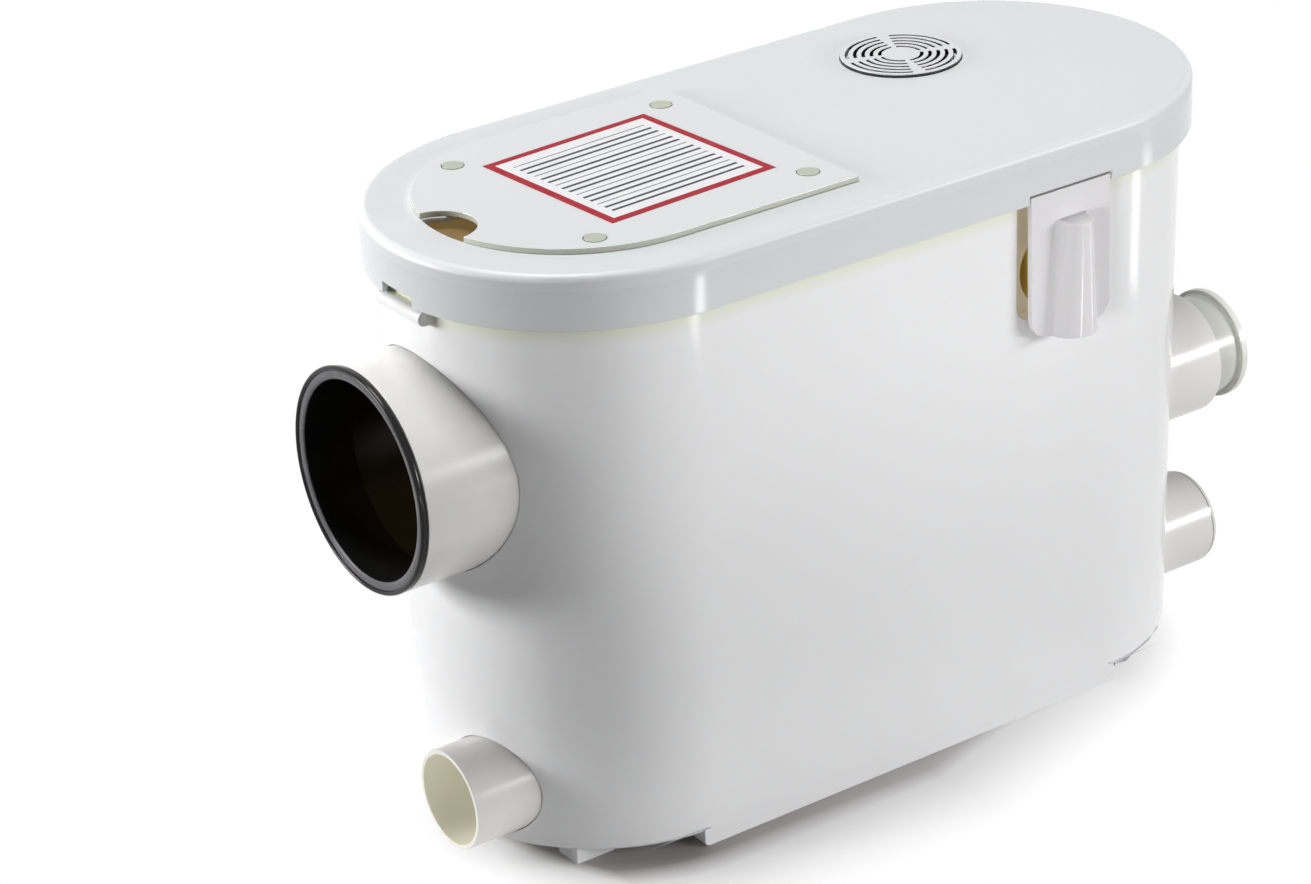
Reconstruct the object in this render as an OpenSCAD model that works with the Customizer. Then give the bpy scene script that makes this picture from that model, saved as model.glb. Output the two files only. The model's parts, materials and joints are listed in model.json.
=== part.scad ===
/* [Tank] */
// Distance from the middle of the tank to the centre of each end arc
end_x = 121.5; // [105:0.5:150]
// Radius of the tank's end arcs at its top edge
tank_r = 97; // [90:0.5:110]
// Draft of the wall from the top edge down to the base
tank_draft = 5; // [3:0.5:7]
// Height of the tank's top edge above the floor
tank_h = 299; // [290:1:320]
// Thickness of the tank's wall
wall = 3.5; // [3:0.1:4.5]
// Thickness of the tank's floor
floor_t = 3; // [2.5:0.1:3.5]
// Rounding of the tank's bottom edge
base_edge = 3; // [2:0.1:3]
// Height of the rails that the tank stands on
rail_h = 7.5; // [6:0.5:7.5]
// Thickness of each rail
rail_t = 12; // [8:1:20]
// How far each rail runs past the centre of an end arc
rail_over = 8; // [0:0.5:14]
// rounding of the rails' lower corners
rail_corner = 3; // [1:0.5:5]
// Width of the pry ledge under the lid
pry_w = 36; // [28:1:44]
// Height of the notch in the lid's skirt over the pry ledge
pry_notch_h = 6; // [4:0.5:8]

/* [Lid] */
// How far the lid stands out past the tank's top edge
lid_over = 5.5; // [5:0.1:9]
// How far the lid's skirt hangs below the tank's top edge
lid_skirt = 17.5; // [12:0.5:26]
// Thickness of the lid's plate
lid_t = 3.2; // [2.5:0.1:4.5]
// Thickness of the lid's skirt
skirt_t = 3; // [2:0.1:4]
// Rounding of the lid's top edge
lid_edge = 4; // [2:0.5:6]
// Height of the rubber gasket between tank and lid
gasket_t = 3.2; // [2:0.1:5]
// Height of the rib that presses on the gasket
press_rib_h = 3.3; // [2:0.1:5]

/* [Access cover] */
// Radius of the cover's round end
cover_r = 78; // [72:0.5:88]
// Where the cover's straight edge lies along the lid
cover_right = -18; // [-26:0.5:-6]
// Height that the cover stands above the lid
cover_t = 2.8; // [2.4:0.1:4]
// Radius of the finger notch in the cover's round end
notch_r = 18.5; // [14:0.5:22]
// Distance of the screws from the lid's long axis
screw_y = 58.5; // [54:0.5:64]
// Distance of the left pair of screws past the end arc's centre
screw_out = 31.5; // [26:0.5:36]
// Place of the right pair of screws along the lid
screw_right = -32.5; // [-40:0.5:-28]
// Radius of the well round each screw
well_r = 5.5; // [5:0.1:7]
// Width of the lid left between the access opening and the screws
seat_w = 6.5; // [6:0.5:9]

/* [Vent] */
// Distance of the vent grille from the end arc's centre
vent_in = 20.5; // [10:0.5:40]
// Place of the vent grille across the lid
vent_y = 39.5; // [30:0.5:45]
// Radius of the vent grille
vent_r = 30.3; // [28:0.1:36]
// Radius of the solid disc in the middle of the grille
vent_hub_r = 9.6; // [7:0.1:11]
// Rows of slots in the grille
vent_rows = 5; // [3:1:6]
// Width of each slot
vent_slot = 1.8; // [1.2:0.1:2.4]
// Thickness of the charcoal pad under the grille
filter_t = 6; // [4:0.5:9]

/* [Soil inlet] */
// Depth of the soil inlet's axis below the tank's top edge
soil_drop = 100; // [94:0.5:112]
// Outer radius of the soil spigot
soil_r = 55; // [52:0.5:58]
// Wall of the soil spigot
soil_wall = 3; // [2.5:0.1:4]
// How far the soil seal stands out past the tank's end
soil_reach = 31.5; // [29:0.5:40]
// Inner radius of the soil seal
seal_bore_r = 48.5; // [47:0.1:49.5]
// Length of the soil seal
seal_len = 26; // [20:0.5:27]

/* [Small ports] */
// Outer radius of the small spigots
spigot_r = 25; // [22:0.5:25.5]
// Wall of the small spigots
spigot_wall = 2.4; // [2:0.1:3.5]
// Height of the lower ports above the floor
low_port_z = 36.3; // [36:0.1:38]
// Distance of the ports from the long axis, towards the front
port_y = 29; // [26:0.5:32]
// How far the left inlet stands out past the tank's end
inlet_reach = 13.5; // [8:0.5:24]
// How far the outlet stands out past the tank's end
outlet_reach = 16; // [8:0.5:24]
// Length of the chamfer at the outlet's mouth
outlet_lip = 2.5; // [1:0.1:4]
// Depth of the spare socket below the tank's top edge
socket_drop = 166; // [164:0.5:171]
// Outer radius of the spare socket
socket_r = 31.6; // [30:0.1:33]
// Bore of the spare socket
socket_bore_r = 25.3; // [24.5:0.1:26]
// How far the spare socket stands out past the tank's end
socket_reach = 10.5; // [6:0.5:20]
// How far the blanking plug stands out of the socket
plug_out = 21; // [14:0.5:28]
// Radius of the blanking plug's flange
plug_flange_r = 28.8; // [28:0.1:32]

/* [Lead port] */
// Distance of the lead port from the end arc's centre
lead_in = 31.5; // [29:0.5:45]
// Width of the pocket behind the port cover
pocket_w = 56; // [50:0.5:62]
// Depth of the pocket
pocket_d = 8; // [6:0.5:11]
// Depth of the pocket's floor below the tank's top edge
pocket_drop = 79; // [73:0.5:83]
// Radius of the hole in the pocket's back wall
lead_hole_r = 20; // [16:0.5:21]
// Depth of that hole below the tank's top edge
lead_hole_drop = 59; // [53:0.5:61]
// Width of the port cover
cover_plate_w = 49; // [44:0.5:54]
// Depth of the port cover's lower edge below the tank's top edge
cover_plate_drop = 87.5; // [85:0.5:95]
// Thickness of the port cover
cover_plate_t = 3; // [2.2:0.1:3]
// How far the port cover reaches up into the lid's edge
cover_plate_up = 3.5; // [2:0.1:5]
// Radius of the port cover's bulge at its lower end
bulge_low_r = 13; // [11:0.1:14]
// Radius of the bulge at its upper end
bulge_high_r = 7; // [6:0.1:9]
// Height of the bulge
bulge_h = 58.5; // [50:0.5:62]
// How far the bulge's upper end stands out before its round front
bulge_out = 5; // [3:0.1:7]
// Rounding between the bulge and the plate
bulge_fillet = 5; // [3:0.1:6]
// Wall of the bulge
bulge_wall = 2; // [1.5:0.1:2.5]

/* [Inner deck] */
// Depth of the deck's low part, under the motor, below the tank's top edge
deck_low_drop = 129; // [123:0.5:131]
// Depth of the deck's high part, over the inlet chamber, below the tank's top edge
deck_high_drop = 37; // [31:0.5:40]
// Where the deck steps up
deck_step_x = -16; // [-24:0.5:-10]
// Thickness of the deck
deck_t = 3; // [2.5:0.1:4]

/* [Motor] */
// Distance of the motor's axis from the end arc's centre
motor_in = 61.5; // [61:0.5:66]
// Radius of the motor's shaft
shaft_r = 6; // [5:0.1:7]
// Outer radius of the motor can
can_r = 50; // [46:0.5:52]
// Wall of the motor can
can_wall = 2; // [1.5:0.1:3]
// Height of the motor can
can_h = 83; // [76:0.5:86]
// Radius of the motor's mounting flange
flange_r = 62; // [60:0.5:64]
// Length of the laminated core
core_len = 52; // [44:0.5:54]
// Radius of the rotor
rotor_r = 30; // [26:0.5:33]
// Outer radius of the ball bearings
bearing_r = 14; // [12:0.5:16]
// Width of the ball bearings
bearing_w = 8; // [7:0.5:9]

/* [Pump] */
// Outer radius of the pump casing
volute_r = 60; // [58:0.5:61]
// Wall of the pump casing
volute_wall = 8; // [7:0.5:10]
// Height of the pump casing
volute_h = 44; // [40:0.5:46]
// Radius of the impeller
impeller_r = 46; // [40:0.5:48]
// Number of impeller vanes
vanes = 6; // [4:1:8]
// Radius of the casing's outlet pipe
outlet_r = 17; // [16:0.5:17.5]
// Radius of the suction hole
suction_r = 24; // [20:0.5:28]
// Reach of the cutter blade
blade_r = 48; // [40:0.5:52]
// Gap between the basket and the deck over it
basket_gap = 29.5; // [28:0.5:40]
// Radius of the basket's holes
basket_hole_r = 4; // [3:0.1:5]
// Rows of holes up the basket's sides
basket_rows = 4; // [2:1:5]
// Height of solid wall under and over the rows of holes
basket_rim = 12; // [10:0.5:16]

/* [Valves] */
// Outer radius of the check valve's housing
valve_r = 24; // [23:0.1:24.2]
// Radius of the check valve's flap
flap_r = 16; // [14:0.1:16.2]
// Radius of the hinge pins
pin_r = 1.5; // [1.2:0.1:1.8]

/* [Fits] */
// Gap round fixed pieces let into a wall
let_in = 0.2; // [0.1:0.05:0.3]
// Running gap round shafts and pins
run_gap = 0.03; // [0.02:0.01:0.08]
// Gap between loose faces that move past each other
loose_gap = 0.4; // [0.3:0.05:0.6]

/* [Hidden] */

$fn = 96;
eps = 0.5;
through = 400;
hex_sides = 6;

// Ends and sides
tank_end = end_x + tank_r;
lid_r = tank_r + lid_over;
rail_half = end_x + rail_over;
soil_face = tank_end + soil_reach;
inlet_mouth = tank_end + inlet_reach;
outlet_mouth = tank_end + outlet_reach;
socket_mouth = tank_end + socket_reach;
plug_face = socket_mouth + plug_out;
screw_left = -end_x - screw_out;
vent_x = end_x - vent_in;
lead_x = end_x - lead_in;
motor_x = end_x - motor_in;

// Levels
lid_low = tank_h - lid_skirt;
soil_z = tank_h - soil_drop;
socket_z = tank_h - socket_drop;
pocket_low = tank_h - pocket_drop;
lead_hole_z = tank_h - lead_hole_drop;
cover_plate_low = tank_h - cover_plate_drop;
deck_low = tank_h - deck_low_drop;
deck_high = tank_h - deck_high_drop;
floor_z = rail_h + floor_t;
gasket_top = tank_h + gasket_t;
plate_low = gasket_top + press_rib_h;
lid_top = plate_low + lid_t;
deck_floor = deck_low + deck_t;
front_y = -lid_r;

function wall_r(z) = tank_r - tank_draft * (tank_h - z) / (tank_h - rail_h);
function end_wall_x(z, y) = end_x + sqrt(pow(wall_r(z), 2) - y * y);

// Small fasteners
screw_play = 0.3;
screw_r = 1.75;
screw_head_r = 4;
screw_head_t = 2;
casing_head_r = 2.8;

// Soil seal
lip_t = 2.2;
lip_back = 0.7;
seal_groove = 2;

// Vent seat in the lid
vent_sink = 1.2;
vent_t = 2.8;
vent_rim = 2;
filter_gap = 0.2;

// Spare socket
ring_w = 9;
ring_d = 3;
ring_back = 15.5;
socket_play = 0.4;

// Screw wells in the access cover
well_floor = 1;
cover_screw_len = 12;

// Deck lugs
lug_w = 14;
lug_h = 12;
lug_reach = 11;
lug_root = 1.5;
low_lugs = [deck_step_x + 18, end_x - 10];
high_lugs = [deck_step_x - 24, -end_x + 4];

// Pocket of the lead port
pocket_corner = 8;
pocket_top = lid_low + 2.5;

// Guard behind the lead port and pad under the finger notch
guard_w = 44;
guard_in = 17;
guard_up = 8;
pad_gap = 2.5;
pad_over = 4;

// Motor levels
flange_t = 6;
can_low = deck_floor + flange_t;
can_top = can_low + can_h;
core_low = can_low + (can_h - core_len) / 2 - 1;
hub_drop = 8;
seal_r = shaft_r + 5;
hub_r = bearing_r + 4;
seal_low = deck_floor - hub_drop;
flange_screw_r = (can_r + flange_r) / 2;
cap_t = 4;
cap_hub_h = bearing_w + 5;

// Pump levels
chamber_low = floor_z + 8;
volute_top = max(floor_z + volute_h, low_port_z + outlet_r + 1);
plate_t = 4;
basket_low = volute_top + plate_t;
basket_t = 3;
basket_r = volute_r + 2;
basket_h = deck_low - basket_gap - basket_low;
basket_x = -end_x + 51.5;
shaft_low = chamber_low + 2.5;
nut_h = 5;
nut_r = 10;
blade_rise = 6;
blade_hub_h = 16;
casing_screw_in = 12;
impeller_low = shaft_low + nut_h;
impeller_top = volute_top - 6;

// Where the free length of the lower spigots starts, just outside the wall
spigot_root = end_wall_x(low_port_z + spigot_r, port_y - spigot_r) + 0.6;
// The stretch of a spigot that is let into the wall is this much slimmer
root_step = 0.35;
// Room for the inlet flap to swing past its lugs
swing_gap = 1.5;

// Gap between a flap and its seat
flap_gap = 0.3;

// Check valve levels
valve_x = motor_x + basket_r + 1;
spigot_end = tank_end - 30.5;
seat_x = valve_x + 13;
seat_t = 4;
flap_x = seat_x + seat_t + flap_gap;
valve_wall = 2.5;
hinge_up = 16.5;
flap_t = 3;
boss_r = 2.8;

// Inlet flap sizes
inlet_end = spigot_end;
inlet_flap_r = spigot_r - 1;
inlet_hinge_up = spigot_r + 3;
lug_gap = 7;

// Level switch
switch_x = end_x + 38.5;
switch_y = 35;
switch_r = 22;
switch_h = 20;
nipple_r = 8;
plunger_r = 2.5;
plunger_up = 10;
plunger_travel = 2;
plunger_gap = 0.3;
plunger_foot = 6;
post_x = 13;

// Electrics on the deck
can_x = end_x + 28.5;
can_y = -40;
cap_r = 17;
cap_h = 60;
cup_t = 2;
cup_h = 24;
block_x = end_x + 16.5;
block_y = -13;

module at_motor(z) {
    translate([motor_x, 0, z]) children();
}

module along_x(x, y, z) {
    translate([x, y, z]) rotate([0, 90, 0]) children();
}

module stadium_body(half) {
    for (side = [-1, 1])
        translate([side * half, 0, 0])
            rotate(-90 * side)
                rotate_extrude(angle = 180) children();
    rotate([90, 0, 90])
        linear_extrude(2 * half, center = true) {
            children();
            mirror([1, 0]) children();
        }
}

module drafted_half(r_low, r_high, z_low, z_high, edge) {
    lean = atan((r_high - r_low) / (z_high - z_low));
    round_r = r_low + edge * tan(lean) - edge / cos(lean);
    polygon([
        [0, z_low],
        [round_r, z_low],
        [round_r + edge * cos(lean), z_low + edge - edge * sin(lean)],
        [r_high, z_high],
        [0, z_high]
    ]);
    translate([round_r, z_low + edge]) circle(edge);
}

module crowned_half(r, z_low, z_high, edge) {
    polygon([[0, z_low], [r, z_low], [r, z_high - edge], [r - edge, z_high], [0, z_high]]);
    translate([r - edge, z_high - edge]) circle(edge);
}

module stadium_2d(r) {
    for (side = [-1, 1])
        translate([side * end_x, 0])
            intersection() {
                circle(r);
                translate([side > 0 ? 0 : -2 * r, -2 * r]) square([2 * r, 4 * r]);
            }
    square([2 * end_x, 2 * r], center = true);
}

module stadium_ring(r_out, r_in, z, h) {
    translate([0, 0, z])
        linear_extrude(h)
            difference() {
                stadium_2d(r_out);
                stadium_2d(r_in);
            }
}

module d_shape(r, x_right) {
    translate([-end_x, 0])
        intersection() {
            circle(r);
            translate([-2 * r, -2 * r]) square([2 * r, 4 * r]);
        }
    translate([-end_x, -r]) square([x_right + end_x, 2 * r]);
}

module u_shape(w, z_low, z_high, corner) {
    translate([-w / 2, z_low + corner]) square([w, z_high - z_low - corner]);
    translate([-w / 2 + corner, z_low]) square([w - 2 * corner, corner + eps]);
    for (side = [-1, 1])
        translate([side * (w / 2 - corner), z_low + corner]) circle(corner);
}

module on_front(y_front, y_back) {
    translate([lead_x, y_back, 0])
        rotate([90, 0, 0]) linear_extrude(y_back - y_front) children();
}

module screw(head_z, length, head_r = screw_head_r) {
    translate([0, 0, head_z]) cylinder(h = screw_head_t, r = head_r);
    translate([0, 0, head_z - length]) cylinder(h = length + eps, r = screw_r);
}

module tank_inside(gap) {
    inner_edge = base_edge + wall / 2;
    top = tank_h + eps;
    stadium_body(end_x)
        polygon([
            [0, floor_z],
            [wall_r(floor_z) - wall - gap - inner_edge, floor_z],
            [wall_r(floor_z + inner_edge) - wall - gap, floor_z + inner_edge],
            [wall_r(top) - wall - gap, top],
            [0, top]
        ]);
}

module deck_screw_places() {
    for (side = [-1, 1]) {
        for (x = low_lugs)
            translate([x, side * (wall_r(deck_low) - wall - lug_reach / 2), deck_low]) children();
        for (x = high_lugs)
            translate([x, side * (wall_r(deck_high) - wall - lug_reach / 2), deck_high]) children();
    }
}

module deck_lugs() {
    difference() {
        deck_screw_places()
            translate([-lug_w / 2, -lug_reach / 2 - lug_root, -lug_h])
                cube([lug_w, lug_reach + 2 * lug_root, lug_h]);
        deck_screw_places()
            translate([0, 0, -lug_h - eps]) cylinder(h = lug_h + 2 * eps, r = screw_r + run_gap);
    }
}

module rails() {
    for (side = [-1, 1])
        translate([0, side > 0 ? wall_r(rail_h) : -wall_r(rail_h) + rail_t, 0])
            rotate([90, 0, 0])
                linear_extrude(rail_t)
                    u_shape(2 * rail_half, 0, rail_h + base_edge, rail_corner);
    translate([-rail_t / 2, -wall_r(0) + rail_t / 2, 0])
        cube([rail_t, 2 * wall_r(0) - rail_t, floor_z - floor_t / 2]);
}

module end_feet() {
    foot_l = 22;
    foot_w = 16;
    foot_x = tank_end - 32.5;
    foot_y = tank_r - 31;
    for (side = [-1, 1])
        translate([-foot_x, side > 0 ? foot_y - foot_w : -foot_y, 0])
            cube([foot_l, foot_w, rail_h + floor_t / 2]);
}

module pry_ledge() {
    bar_r = 3.8;
    bar_z = lid_low - loose_gap - bar_r;
    bar_x = -end_wall_x(bar_z, 0) - bar_r / 2;
    translate([bar_x, 0, bar_z])
        rotate([90, 0, 0]) cylinder(h = pry_w, r = bar_r, center = true);
    translate([bar_x, -pry_w / 2, bar_z - bar_r]) cube([wall + 5, pry_w, 2 * bar_r]);
}

module pocket_cut() {
    on_front(-lid_r - wall, -wall_r(lid_low) + pocket_d)
        u_shape(pocket_w, pocket_low, pocket_top, pocket_corner);
}

module lead_hole() {
    translate([lead_x, 0, lead_hole_z]) rotate([90, 0, 0]) cylinder(h = through, r = lead_hole_r);
}

module pocket_walls() {
    difference() {
        on_front(-wall_r(pocket_low) + wall / 4, -wall_r(lid_low) + pocket_d + wall)
            u_shape(pocket_w + 2 * wall, pocket_low - wall, pocket_top + wall, pocket_corner + wall);
        pocket_cut();
        lead_hole();
    }
}

module tank() {
    color("whitesmoke") {
        difference() {
            union() {
                stadium_body(end_x) drafted_half(wall_r(rail_h), tank_r, rail_h, tank_h, base_edge);
                rails();
                end_feet();
                pry_ledge();
            }
            tank_inside(0);
            pocket_cut();
            along_x(-end_x - through, 0, soil_z) cylinder(h = through, r = soil_r + let_in);
            along_x(-end_x - through, -port_y, low_port_z) cylinder(h = through, r = spigot_r + let_in);
            along_x(end_x, -port_y, low_port_z) cylinder(h = through, r = spigot_r + let_in);
            along_x(end_x, -port_y, socket_z) cylinder(h = through, r = socket_r + let_in);
        }
        pocket_walls();
        deck_lugs();
    }
}

module soil_spigot() {
    color("ghostwhite")
        along_x(-soil_face + lip_t, 0, soil_z)
            difference() {
                cylinder(h = soil_face - lip_t - inlet_end, r = soil_r);
                translate([0, 0, -eps]) cylinder(h = soil_face, r = soil_r - soil_wall);
            }
}

module soil_seal() {
    lip_r = soil_r - lip_back - lip_t / 2;
    sleeve_r = soil_r - soil_wall - let_in;
    color("black")
        along_x(-soil_face, 0, soil_z)
            rotate_extrude()
                difference() {
                    union() {
                        translate([seal_bore_r, 0]) square([sleeve_r - seal_bore_r, seal_len]);
                        translate([seal_bore_r, lip_t / 2]) square([lip_r - seal_bore_r, lip_t / 2]);
                        translate([seal_bore_r + lip_t / 2, 0])
                            square([lip_r - lip_t / 2 - seal_bore_r, lip_t]);
                        translate([lip_r, lip_t / 2]) circle(lip_t / 2);
                    }
                    translate([sleeve_r - lip_back, seal_len - 3 * seal_groove])
                        square([seal_groove, seal_groove]);
                }
}

module inlet_spigot() {
    lug_t = 3;
    color("ghostwhite")
        difference() {
            union() {
                along_x(-inlet_mouth, -port_y, low_port_z)
                    cylinder(h = inlet_mouth - spigot_root, r = spigot_r);
                along_x(-inlet_mouth, -port_y, low_port_z)
                    cylinder(h = inlet_mouth - inlet_end, r = spigot_r - root_step);
                for (side = [-1, 1])
                    translate([-inlet_end - 5, -port_y + side * (lug_gap + lug_t / 2) - lug_t / 2,
                               low_port_z + spigot_r - spigot_wall])
                        cube([5 + flap_t + 1.5, lug_t, inlet_hinge_up - spigot_r + spigot_wall + 3]);
            }
            along_x(-inlet_mouth - eps, -port_y, low_port_z)
                cylinder(h = through / 4, r = spigot_r - spigot_wall);
            along_x(-inlet_end, -port_y, low_port_z) cylinder(h = spigot_r, r = inlet_flap_r + swing_gap);
            inlet_pin_hole(pin_r + run_gap);
        }
}

module inlet_pin_hole(r) {
    translate([-inlet_end + flap_gap + flap_t / 2, -port_y, low_port_z + inlet_hinge_up])
        rotate([90, 0, 0]) cylinder(h = 2 * lug_gap + 6, r = r, center = true);
}

module inlet_flap_pin() {
    color("silver") inlet_pin_hole(pin_r);
}

module inlet_flap() {
    color("dimgray")
        difference() {
            union() {
                along_x(-inlet_end + flap_gap, -port_y, low_port_z) cylinder(h = flap_t, r = inlet_flap_r);
                translate([-inlet_end + flap_gap, -port_y - lug_gap + loose_gap, low_port_z])
                    cube([flap_t, 2 * lug_gap - 2 * loose_gap, inlet_hinge_up]);
                translate([-inlet_end + flap_gap + flap_t / 2, -port_y, low_port_z + inlet_hinge_up])
                    rotate([90, 0, 0]) cylinder(h = 2 * lug_gap - 2 * loose_gap, r = boss_r, center = true);
            }
            inlet_pin_hole(pin_r + run_gap);
        }
}

module outlet_spigot() {
    color("ghostwhite")
        difference() {
            union() {
                along_x(spigot_root, -port_y, low_port_z)
                    cylinder(h = outlet_mouth - outlet_lip - spigot_root, r = spigot_r);
                along_x(outlet_mouth - outlet_lip, -port_y, low_port_z)
                    cylinder(h = outlet_lip, r1 = spigot_r, r2 = spigot_r - outlet_lip / 3);
                along_x(spigot_end, -port_y, low_port_z)
                    cylinder(h = outlet_mouth - outlet_lip - spigot_end, r = spigot_r - root_step);
            }
            along_x(spigot_end - eps, -port_y, low_port_z)
                cylinder(h = through, r = spigot_r - spigot_wall);
        }
}

module spare_socket() {
    color("ghostwhite")
        along_x(spigot_end, -port_y, socket_z)
            difference() {
                cylinder(h = socket_mouth - spigot_end, r = socket_r);
                translate([0, 0, -eps]) cylinder(h = through, r = socket_bore_r);
                translate([0, 0, socket_mouth - spigot_end - ring_back])
                    cylinder(h = ring_w, r = socket_bore_r + ring_d);
            }
}

module socket_ring() {
    color("black")
        along_x(socket_mouth - ring_back + let_in, -port_y, socket_z)
            difference() {
                cylinder(h = ring_w - 2 * let_in, r = socket_bore_r + ring_d - let_in);
                translate([0, 0, -eps]) cylinder(h = through, r = socket_bore_r - socket_play / 4);
            }
}

module blanking_plug() {
    insert = 28;
    flange_w = 4;
    spigot = socket_bore_r - socket_play;
    neck_r = socket_bore_r + 1;
    hollow_r = spigot - 2.5;
    neck_len = plug_face - flange_w - socket_mouth - loose_gap;
    color("ghostwhite")
        along_x(socket_mouth + loose_gap, -port_y, socket_z)
            difference() {
                union() {
                    translate([0, 0, -insert]) cylinder(h = insert + eps, r = spigot);
                    cylinder(h = neck_len + eps, r = neck_r);
                    translate([0, 0, neck_len]) cylinder(h = flange_w, r = plug_flange_r);
                }
                translate([0, 0, -insert - eps]) cylinder(h = insert + neck_len, r = hollow_r);
                translate([0, 0, neck_len + flange_w - 1.5]) cylinder(h = 3, r = plug_flange_r - 3);
            }
}

module lid_gasket() {
    color("darkslategray") stadium_ring(tank_r - 0.5, tank_r - wall + 0.5, tank_h, gasket_t);
}

module access_opening() {
    linear_extrude(through) {
        d_shape(screw_y - seat_w, screw_right - seat_w);
        intersection() {
            translate([-end_x - cover_r, 0]) circle(notch_r - 1);
            d_shape(cover_r - 0.6, 0);
        }
        translate([-end_x - cover_r + 8, -notch_r + 6])
            square([cover_r - screw_y + seat_w, 2 * notch_r - 12]);
    }
}

module cover_screw_places() {
    for (x = [screw_left, screw_right], side = [-1, 1])
        translate([x, side * screw_y, 0]) children();
}

module lid() {
    boss_h = 9;
    color("white")
        difference() {
            union() {
                difference() {
                    stadium_body(end_x) crowned_half(lid_r, lid_low, lid_top, lid_edge);
                    translate([0, 0, lid_low - eps])
                        linear_extrude(plate_low - lid_low + eps) stadium_2d(lid_r - skirt_t);
                }
                stadium_ring(tank_r, tank_r - wall, gasket_top, press_rib_h + eps);
                cover_screw_places() translate([0, 0, plate_low - boss_h])
                    cylinder(h = boss_h + eps, r = 5);
                translate([vent_x, vent_y, plate_low - filter_t - vent_rim])
                    cylinder(h = filter_t + vent_rim + eps, r = vent_r - vent_rim);
            }
            cover_screw_places()
                translate([0, 0, plate_low - boss_h - eps]) cylinder(h = through, r = screw_r + screw_play);
            translate([0, 0, plate_low - eps]) access_opening();
            translate([vent_x, vent_y, plate_low - filter_t - vent_rim - eps])
                cylinder(h = through, r = vent_r - 2 * vent_rim);
            translate([vent_x, vent_y, lid_top - vent_sink]) cylinder(h = through, r = vent_r + let_in);
            translate([-end_x - lid_r - 2, -pry_w / 3, lid_low - eps])
                cube([skirt_t + 3, 2 * pry_w / 3, pry_notch_h]);
            translate([lead_x - cover_plate_w / 2 - 1, front_y - eps, lid_low - eps])
                cube([cover_plate_w + 2, skirt_t + 2 * eps, cover_plate_up + 1 + eps]);
        }
}

module access_cover() {
    color("white")
        difference() {
            translate([0, 0, lid_top])
                linear_extrude(cover_t)
                    difference() {
                        d_shape(cover_r, cover_right);
                        translate([-end_x - cover_r, 0]) circle(notch_r);
                    }
            cover_screw_places() {
                translate([0, 0, lid_top - eps]) cylinder(h = through, r = screw_r + screw_play);
                translate([0, 0, lid_top + well_floor]) cylinder(h = through, r = well_r);
            }
        }
}

module cover_screws() {
    color("silver")
        cover_screw_places() screw(lid_top + well_floor, cover_screw_len, well_r - screw_play);
}

module vent_grille() {
    row_step = (vent_r - vent_hub_r) / vent_rows;
    spoke_turn = -19;
    spoke_angle = 13;
    color("white")
        translate([vent_x, vent_y, lid_top - vent_sink])
            difference() {
                cylinder(h = vent_t, r = vent_r);
                for (row = [0 : vent_rows - 1], quarter = [0 : 3])
                    rotate(spoke_turn + quarter * 90 + spoke_angle / 2)
                        translate([0, 0, -eps])
                            rotate_extrude(angle = 90 - spoke_angle)
                                translate([vent_hub_r + row * row_step, 0])
                                    square([vent_slot, vent_t + 2 * eps]);
            }
}

module charcoal_filter() {
    color("dimgray")
        translate([vent_x, vent_y, lid_top - vent_sink - filter_t - filter_gap])
            cylinder(h = filter_t, r = vent_r - 2 * vent_rim - let_in);
}

module bulge_form(inset, drop) {
    below = 4;
    seam = 0.15;
    slope = (bulge_low_r - bulge_high_r) / bulge_h;
    low_r = bulge_low_r + below * slope - inset;
    high_r = bulge_high_r - inset;
    translate([lead_x, front_y, cover_plate_low])
        rotate([asin(bulge_out / bulge_h), 0, 0])
            translate([0, 0, -below - drop]) {
                cylinder(h = bulge_h + below, r1 = low_r, r2 = high_r);
                rotate([90, 0, 0])
                    mirror([0, 0, 1])
                        linear_extrude(2 * bulge_out + cover_plate_t)
                            polygon([
                                [seam - low_r, 0],
                                [low_r - seam, 0],
                                [high_r - seam, bulge_h + below],
                                [seam - high_r, bulge_h + below]
                            ]);
            }
}

module bulge_fillets() {
    rise = 0.8 * bulge_fillet;
    dip = 0.2;
    spread = bulge_fillet * sqrt(1 - 0.2 * 0.2) - 0.15;
    low_x = sqrt(pow(bulge_low_r, 2) - pow(rise, 2)) + spread;
    high_x = bulge_high_r + spread;
    slant = atan((low_x - high_x) / bulge_h);
    difference() {
        on_front(front_y - rise, front_y + eps)
            polygon([
                [-low_x, cover_plate_low],
                [low_x, cover_plate_low],
                [high_x, cover_plate_low + bulge_h],
                [-high_x, cover_plate_low + bulge_h]
            ]);
        for (side = [-1, 1])
            translate([lead_x + side * low_x, front_y - bulge_fillet + dip, cover_plate_low])
                rotate([0, -side * slant, 0])
                    cylinder(h = 3 * bulge_h, r = bulge_fillet, center = true);
    }
}

module port_cover() {
    plate_top = lid_low + cover_plate_up;
    plate_back = front_y + cover_plate_t;
    plate_corner = 10;
    arm_h = 24;
    arm_t = 3;
    arm_x = sqrt(pow(lead_hole_r - loose_gap, 2) - pow(arm_h / 2, 2)) - arm_t;
    arm_len = pocket_d + wall - wall_r(lid_low) - plate_back + 2;
    color("white")
        difference() {
            union() {
                on_front(front_y, plate_back) u_shape(cover_plate_w, cover_plate_low, plate_top, plate_corner);
                intersection() {
                    bulge_form(0, 0);
                    on_front(front_y - 2 * bulge_low_r, plate_back)
                        u_shape(2 * pocket_w, cover_plate_low, tank_h, pocket_corner);
                }
                bulge_fillets();
                for (side = [-1, 1])
                    translate([lead_x + side * (arm_x + arm_t / 2) - arm_t / 2, plate_back - eps,
                               lead_hole_z - arm_h / 2])
                        cube([arm_t, arm_len + eps, arm_h]);
            }
            bulge_form(bulge_wall, bulge_wall);
        }
}

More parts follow.
